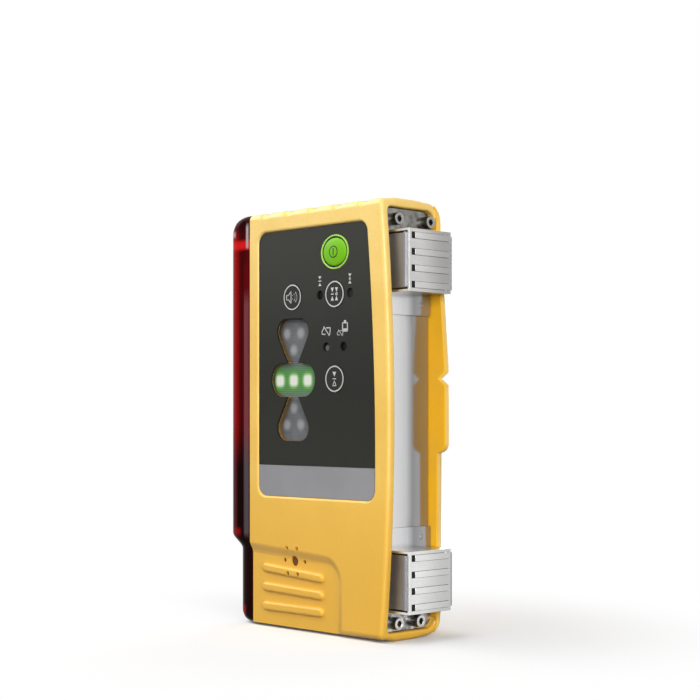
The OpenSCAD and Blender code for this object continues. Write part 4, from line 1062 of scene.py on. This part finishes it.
def make_printing():
    rim = ring_shapes(5.85, 0.56)
    small = dict(half=1.0, reach=2.2, tall=1.4, dot=0.6)
    pair = hourglass(-1.35, "dash") + hourglass(1.35, "dot")
    zero = hourglass(0, "dash", True, 1.15, 3.1, 2.1)
    print_on("sound_key_print", rim + speaker_mark(), (DISPLAY_X, KEY_Z), KEY_Y, "sound_key")
    print_on("precision_key_print", rim + pair, (KEY_X, KEY_Z), KEY_Y, "precision_key")
    print_on("zero_key_print", rim + zero, (KEY_X, DISPLAY_Z), KEY_Y, "zero_key")
    low_charge = moved(battery_mark(), 1.2, 1.5, 1.15) + moved(crossed_mark(), -1.9, -1.3, 0.75)
    for name, shapes, x, z in (
            ("left", hourglass(0, "dash", **small), -INDICATOR_X, KEY_Z + 6.3),
            ("right", hourglass(0, "dot", **small), INDICATOR_X, KEY_Z + 6.3),
            ("beam", moved(crossed_mark(), 0, 0, 1.12), -5.6, 134.7),
            ("battery", low_charge, 5.4, 134.9)):
        print_on(name + "_indicator_print", shapes, (KEY_X + x, z), PANEL_Y, "housing")


# Power button

POWER_W, POWER_H, POWER_DOME, POWER_PROUD = 14.9, 12.6, 0.8, 0.3
RING_W, RING_RIM, RING_Y = 17.8, 0.8, 0.5
DOME_PROFILE = ((0.992, 0.34), (0.97, 0.14), (0.93, 0.04), (0.85, 0), (0.7, 0), (0.5, 0), (0.3, 0), (0.12, 0))


def power_face(px, pz):
    """Depth of the power button's dome below its highest point."""
    return POWER_DOME * ((2 * px / POWER_W) ** 2 + (2 * pz / POWER_H) ** 2)


def power_oval(y, share=1.0, out=0.0):
    """The power button's outline at a depth, drawn in to a share or moved out."""
    return oval(KEY_X, y, POWER_Z, POWER_W * share / 2 + out, POWER_H * share / 2 + out, 96)


def power_band(name, finish, profile, stands_for=()):
    """A closed band round the power button; the profile gives how far outside it and how deep."""
    bm = bmesh.new()
    loft(bm, [power_oval(y, out=out) for out, y in profile], loop=True)
    show(outward(bm), name, finish, "housing", stands_for)


def make_power_button():
    """Oval domed button in its pale ring, with a dark gap between them, darkened by a black ring that stands in for
    shade.
    """
    bm = bmesh.new()
    domed = [power_oval(POWER_DOME * share ** 2 - POWER_PROUD + down, share) for share, down in DOME_PROFILE]
    loft(bm, [power_oval(FRONT_WALL), power_oval(1.1)] + domed)
    show(outward(bm), "power_button_soft", green_silicone, "power_button", ("power_button",))
    bar = [(0, -1.5 + 0.25 * i) for i in range(13)]
    print_on("power_symbol", ring_shapes(2.75, 0.5, 48) + stroke(bar, 0.55), (KEY_X, POWER_Z), -POWER_PROUD,
             "power_button", dark_ink, power_face)
    out = (RING_W - POWER_W) / 2
    inner = out - RING_RIM
    power_band("power_ring_soft", pale_green, [
        (inner, 1.8), (inner, RING_Y + 0.22), (inner + 0.1, RING_Y + 0.06), (inner + 0.28, RING_Y),
        (out - 0.28, RING_Y), (out - 0.1, RING_Y + 0.06), (out, RING_Y + 0.22), (out, 1.8)], ("power_ring",))
    # A black ring in the gap between button and ring, standing in for the shade there.
    power_band("power_button_seal", black_rubber, [
        (0.07, 1.9), (0.07, 0.85), (inner + 0.02, 0.85), (inner + 0.02, 1.9)])


# Screws and rivets by one repeating tree

def repeat_tree():
    """Puts one piece on every point, turned, realised and given its finish."""
    tree = bpy.data.node_groups.new("pieces_on_points", "GeometryNodeTree")
    face, nodes = tree.interface, Nodes(tree)
    for name, kind in (("Points", "Geometry"), ("Piece", "Object"), ("Turn", "Vector"), ("Size", "Float"),
                       ("Finish", "Material")):
        face.new_socket(name, in_out="INPUT", socket_type="NodeSocket" + kind)
    face.new_socket("Pieces", in_out="OUTPUT", socket_type="NodeSocketGeometry")
    start = nodes.add("NodeGroupInput").outputs
    piece = nodes.add("GeometryNodeObjectInfo", {"Object": start["Piece"]})
    turn = nodes.add("FunctionNodeEulerToRotation", {"Euler": start["Turn"]})
    spread = nodes.add("GeometryNodeInstanceOnPoints", {
        "Points": start["Points"], "Instance": piece.outputs["Geometry"],
        "Rotation": turn.outputs[0], "Scale": start["Size"]})
    real = nodes.add("GeometryNodeRealizeInstances", {"Geometry": spread.outputs["Instances"]})
    done = nodes.add("GeometryNodeSetMaterial", {"Geometry": real.outputs["Geometry"], "Material": start["Finish"]})
    nodes.add("NodeGroupOutput", {"Pieces": done.outputs["Geometry"]})
    return tree


PIECES_ON_POINTS = repeat_tree()


def repeat(name, piece_bm, places, turn, finish, body, stands_for):
    """One plain mesh of a piece repeated at places."""
    one = bpy.data.objects.new(name + "_one", take_mesh(piece_bm, name + "_one", 35))
    points = bpy.data.meshes.new(name)
    points.from_pydata([place(*p) for p in places], [], [])
    made = add_object(name, points)
    spread = made.modifiers.new("spread", "NODES")
    spread.node_group = PIECES_ON_POINTS
    values = {"Piece": one, "Turn": turn, "Size": 1.0, "Finish": finish}
    for item in PIECES_ON_POINTS.interface.items_tree:
        if item.in_out == "INPUT" and item.name in values:
            spread[item.identifier] = values[item.name]
    hand_over(made, finish, body, stands_for)
    bpy.data.objects.remove(one)


def circle_ring(r, h, steps=48):
    return [Vector((r * c, r * s, h)) * MM for c, s in turns(steps)]


def hexagon_ring(across, h, steps=48):
    ring = []
    for i, (c, s) in enumerate(turns(steps)):
        r = across / 2 / math.cos((math.tau * i / steps + math.pi / 6) % (math.pi / 3) - math.pi / 6)
        ring.append(Vector((r * c, r * s, h)) * MM)
    return ring


def socket_screw(head_d, head_h, shank_len, socket_depth, chamfer=0.35, shank_d=3, socket=2.5):
    """A screw along +Z whose head's seat is at zero, with a hexagon socket in its face."""
    bm = bmesh.new()
    r, part = head_d / 2, chamfer * 0.3
    rings = [circle_ring(*p) for p in (
        (shank_d / 2, -shank_len), (shank_d / 2, 0), (r - 0.1, 0), (r, 0.1), (r, head_h - chamfer),
        (r - part, head_h - part), (r - chamfer, head_h))]
    rings += [hexagon_ring(*p) for p in (
        (socket + 0.5, head_h), (socket, head_h - 0.25), (socket, head_h - socket_depth))]
    loft(bm, rings)
    return outward(bm)


def dome_rivet(head_d, head_h, shank_d, shank_len):
    """A rivet along +Z whose head's seat is at zero."""
    bm = bmesh.new()
    domed = [(head_d / 2 * math.cos(t), head_h * math.sin(t)) for t in (0, 0.35, 0.7, 1.05, 1.35)]
    loft(bm, [circle_ring(r, h, 32) for r, h in [(shank_d / 2, -shank_len), (shank_d / 2, 0)] + domed])
    return outward(bm)


BRACKET_X, SCREW_SEAT_Y = -3.5, BODY_D - 1.8
SCREW_LEFT, SCREW_RIGHT, SCREW_MIDDLE = 2.6 - BODY_W + 3.9, -8.7 - 4.8, 95.0
TO_RIGHT, TO_REAR = (0, math.pi / 2, 0), (-math.pi / 2, 0, 0)


def make_screws():
    caps = [(BRACKET_X, y, z) for y, z in ((10.7, 182.8), (30.7, 182.8), (10.7, 5.9), (24.4, 5.9))]
    repeat("cap_screws_turned", socket_screw(5.5, 3.5, 10, 1.8), caps, TO_RIGHT, cap_finish(),
           "housing", ("cap_screws",))
    rivets = [(BRACKET_X, 28, z) for z in (145.8, 42.8)]
    repeat("bracket_rivets_domed", dome_rivet(2.0, 0.18, 1.8, 5), rivets, TO_RIGHT, plate_steel,
           "housing", ("bracket_rivets",))
    seats = [(x, SCREW_SEAT_Y, z) for x, heights in (
        (SCREW_LEFT, (10, SCREW_MIDDLE, 180)), (SCREW_RIGHT, (9.5, SCREW_MIDDLE, 174))) for z in heights]
    repeat("housing_screws_turned", socket_screw(5.4, 1.7, 12, 0.9, 0.3), seats, TO_REAR, turned_steel,
           "housing", ("housing_screws",))


# Channel

PLATE_X, PLATE_BACK_X, PLATE_GAP = -5.0, -6.5, 0.4
PLATE_FRONT_R, PLATE_REAR_R = 2.5, 5.0
PLATE_CROWN, PLATE_CROWN_LOW, PLATE_CROWN_HIGH, PLATE_CROWN_RUN = 0.7, 47.4, 141.2, 6
PLATE_ROWS, PLATE_COLUMNS = 48, 24
PAD_TALL, PAD_DEEP, PAD_COUNT = 2.7, 1.95, 4


def make_channel_plate():
    """Satin sheet on the channel floor, gently crowned between the brackets."""
    low_y, high_y = FRONT_WALL + PLATE_GAP, SEAM_Y - PLATE_GAP
    low_z, high_z = CHANNEL_IN + PLATE_GAP, BODY_H - CHANNEL_IN - PLATE_GAP
    rings = []
    for i in range(PLATE_ROWS + 1):
        z = low_z + (high_z - low_z) * i / PLATE_ROWS
        near_end = min(z - low_z, high_z - z)
        cut_front, cut_rear = (drawn_in(near_end, 0, r) for r in (PLATE_FRONT_R, PLATE_REAR_R))
        inside = min(z - PLATE_CROWN_LOW, PLATE_CROWN_HIGH - z) / PLATE_CROWN_RUN
        rise = PLATE_CROWN * min(1.0, max(0.0, inside))
        line = []
        for k in range(PLATE_COLUMNS + 1):
            share = k / PLATE_COLUMNS
            y = low_y + cut_front + (high_y - low_y - cut_front - cut_rear) * share
            line.append((PLATE_X + rise * (1 - (2 * share - 1) ** 2), y))
        rings.append([place(x, y, z) for x, y in line] + [place(PLATE_BACK_X, y, z) for _, y in reversed(line)])
    bm = bmesh.new()
    loft(bm, rings)
    show(outward(bm), "mounting_plate_satin", plate_steel, "housing", ("mounting_plate",), sharp=45)


def make_pads(side):
    """Black rubber pads round the magnet, and black blocks filling the open end of each slot in the strap, standing
    in for the shade there.
    """
    bm = copy_node(side + "_pads")
    low, high = (housing(v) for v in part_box(side + "_pole_bars"))
    strap_face = housing(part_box(side + "_strap")[1]).x
    pitch = (high.z - low.z - PAD_TALL) / (PAD_COUNT - 1)
    front, back = low.y - PAD_DEEP, low.y - 0.05
    # Black blocks in the slots stand in for shade.
    for i in range(PAD_COUNT):
        foot = low.z + pitch * i
        outline = [(front, foot), (back, foot), (back, foot + PAD_TALL), (front, foot + PAD_TALL)]
        loft(bm, [[place(x, y, z) for y, z in outline] for x in (low.x + 0.02, strap_face - 0.15)])
    show(outward(bm), side + "_pads_filled", black_rubber, "housing", (side + "_pads",))


def make_magnets():
    for side, strap, bars in (("upper", upper_strap_steel, upper_pole_steel), ("lower", strap_steel, pole_steel)):
        dress(side + "_strap", 0.1, strap)
        dress(side + "_pole_bars", 0.1, bars)
        dress(side + "_magnet", 0.3, block_steel)
        dress(side + "_bracket", 0.3, plate_steel)
        make_pads(side)


make_front_shell()
make_rear_cover()
make_speaker_cushions()
make_window()
make_display()
make_display_sleeve()
make_power_button()
for key in ("sound_key", "precision_key", "zero_key"):
    dress(key, 0.15, dark_key)
make_printing()
make_screws()
make_channel_plate()
make_magnets()
dress("battery_cover", 0.3, yellow_cover)
dress("cover_screw", 0.25, turned_steel)

for name, piece in frame["nodes"].items():
    piece.data.materials.clear()
    piece.data.materials.append(SLOT_FINISH[NODE_SLOT[name]])
frame["nodes"]["indicator_lenses"].data.materials[0] = lens_finish()


# Stage: floor, world, lamps and camera, in metres

FLOOR_HALF, FLOOR_NEAR, FLOOR_FADE = 30, 0.022, (0.09, 0.2)
WORLD_LIGHT = 0.14


def make_floor():
    """Pale floor that keeps the soft shadow near the part and runs out to plain white."""
    mesh = bpy.data.meshes.new("floor")
    corners = [(x * FLOOR_HALF, y * FLOOR_HALF, 0) for x, y in ((-1, -1), (1, -1), (1, 1), (-1, 1))]
    mesh.from_pydata(corners, [], [(0, 1, 2, 3)])
    floor = add_object("floor", mesh)
    f = Finish("pale_floor")
    f.tree.nodes.remove(f.shader)
    seen = f.seen()
    beside = []
    for axis, low, high in ((X, -BODY_W, 0), (Y, 0, BODY_D)):
        a, b = spot(axis, low), spot(axis, high)
        off = f.calc("ABSOLUTE", f.calc("SUBTRACT", f.axes[axis], (a + b) / 2))
        off = f.calc("MAXIMUM", f.calc("SUBTRACT", off, (b - a) / 2), 0.0)
        beside.append(f.calc("POWER", off, 2.0))
    gap = f.calc("SQRT", f.calc("ADD", *beside))
    tone = f.mix(f.step(gap, 0.0, FLOOR_NEAR), grey(0.84), grey(0.5))
    matt = f.add("ShaderNodeBsdfDiffuse", {"Color": f.mix(seen, grey(0.16), tone)})
    strength = f.times(seen, f.step(gap, 0.0, FLOOR_NEAR, 0.04, 0.42))
    lift = f.add("ShaderNodeEmission", {"Color": grey(1), "Strength": strength})
    lit = f.add("ShaderNodeAddShader", {0: matt.outputs[0], 1: lift.outputs[0]})
    white = f.add("ShaderNodeEmission", {"Color": grey(1), "Strength": seen})
    share = f.step(f.length(f.coords), *FLOOR_FADE)
    blend = f.add("ShaderNodeMixShader", {0: share, 1: lit.outputs[0], 2: white.outputs[0]})
    f.wire(f.tree.nodes["Material Output"].inputs["Surface"], blend.outputs[0])
    mesh.materials.append(f.material)


def make_world():
    """White where it is seen, and a low even light elsewhere."""
    world = bpy.data.worlds.new("white_room")
    bpy.context.scene.world = world
    world.use_nodes = True
    nodes = Nodes(world.node_tree)
    back = world.node_tree.nodes["Background"].inputs
    nodes.wire(back["Color"], grey(1))
    nodes.wire(back["Strength"], nodes.step(nodes.seen(), 0, 1, WORLD_LIGHT, 1.0))


def area_lamp(name, at, aim_z, size, power):
    lamp = bpy.data.lights.new(name, "AREA")
    lamp.shape, lamp.size, lamp.energy = "DISK", size, power
    made = add_object(name, lamp)
    made.location = at
    made.rotation_euler = (Vector((0, 0, aim_z)) - Vector(at)).to_track_quat("-Z", "Y").to_euler()


def make_camera():
    lens = bpy.data.cameras.new("view")
    lens.sensor_width = 36
    lens.lens = 80.13
    lens.shift_y = 64 / 700
    lens.clip_start = 0.01
    camera = add_object("view", lens)
    camera.location = (0.5212, -0.4972, 0.0994)
    camera.rotation_euler = (math.radians(90), 0, math.radians(45.8))
    bpy.context.scene.camera = camera


make_floor()
make_world()
area_lamp("left_lamp", (-0.75, -0.28, 0.8), 0.1, 1.0, 8)
area_lamp("front_lamp", (-0.1, -0.7, 0.85), 0.1, 1.0, 5.0)
area_lamp("side_lamp", (0.92, -0.52, 0.3), 0.09, 0.7, 10.9)
area_lamp("rear_lamp", (-0.4, 1.0, 0.26), 0.1, 0.8, 8)
make_camera()
bpy.context.scene.view_settings.view_transform = "Standard"
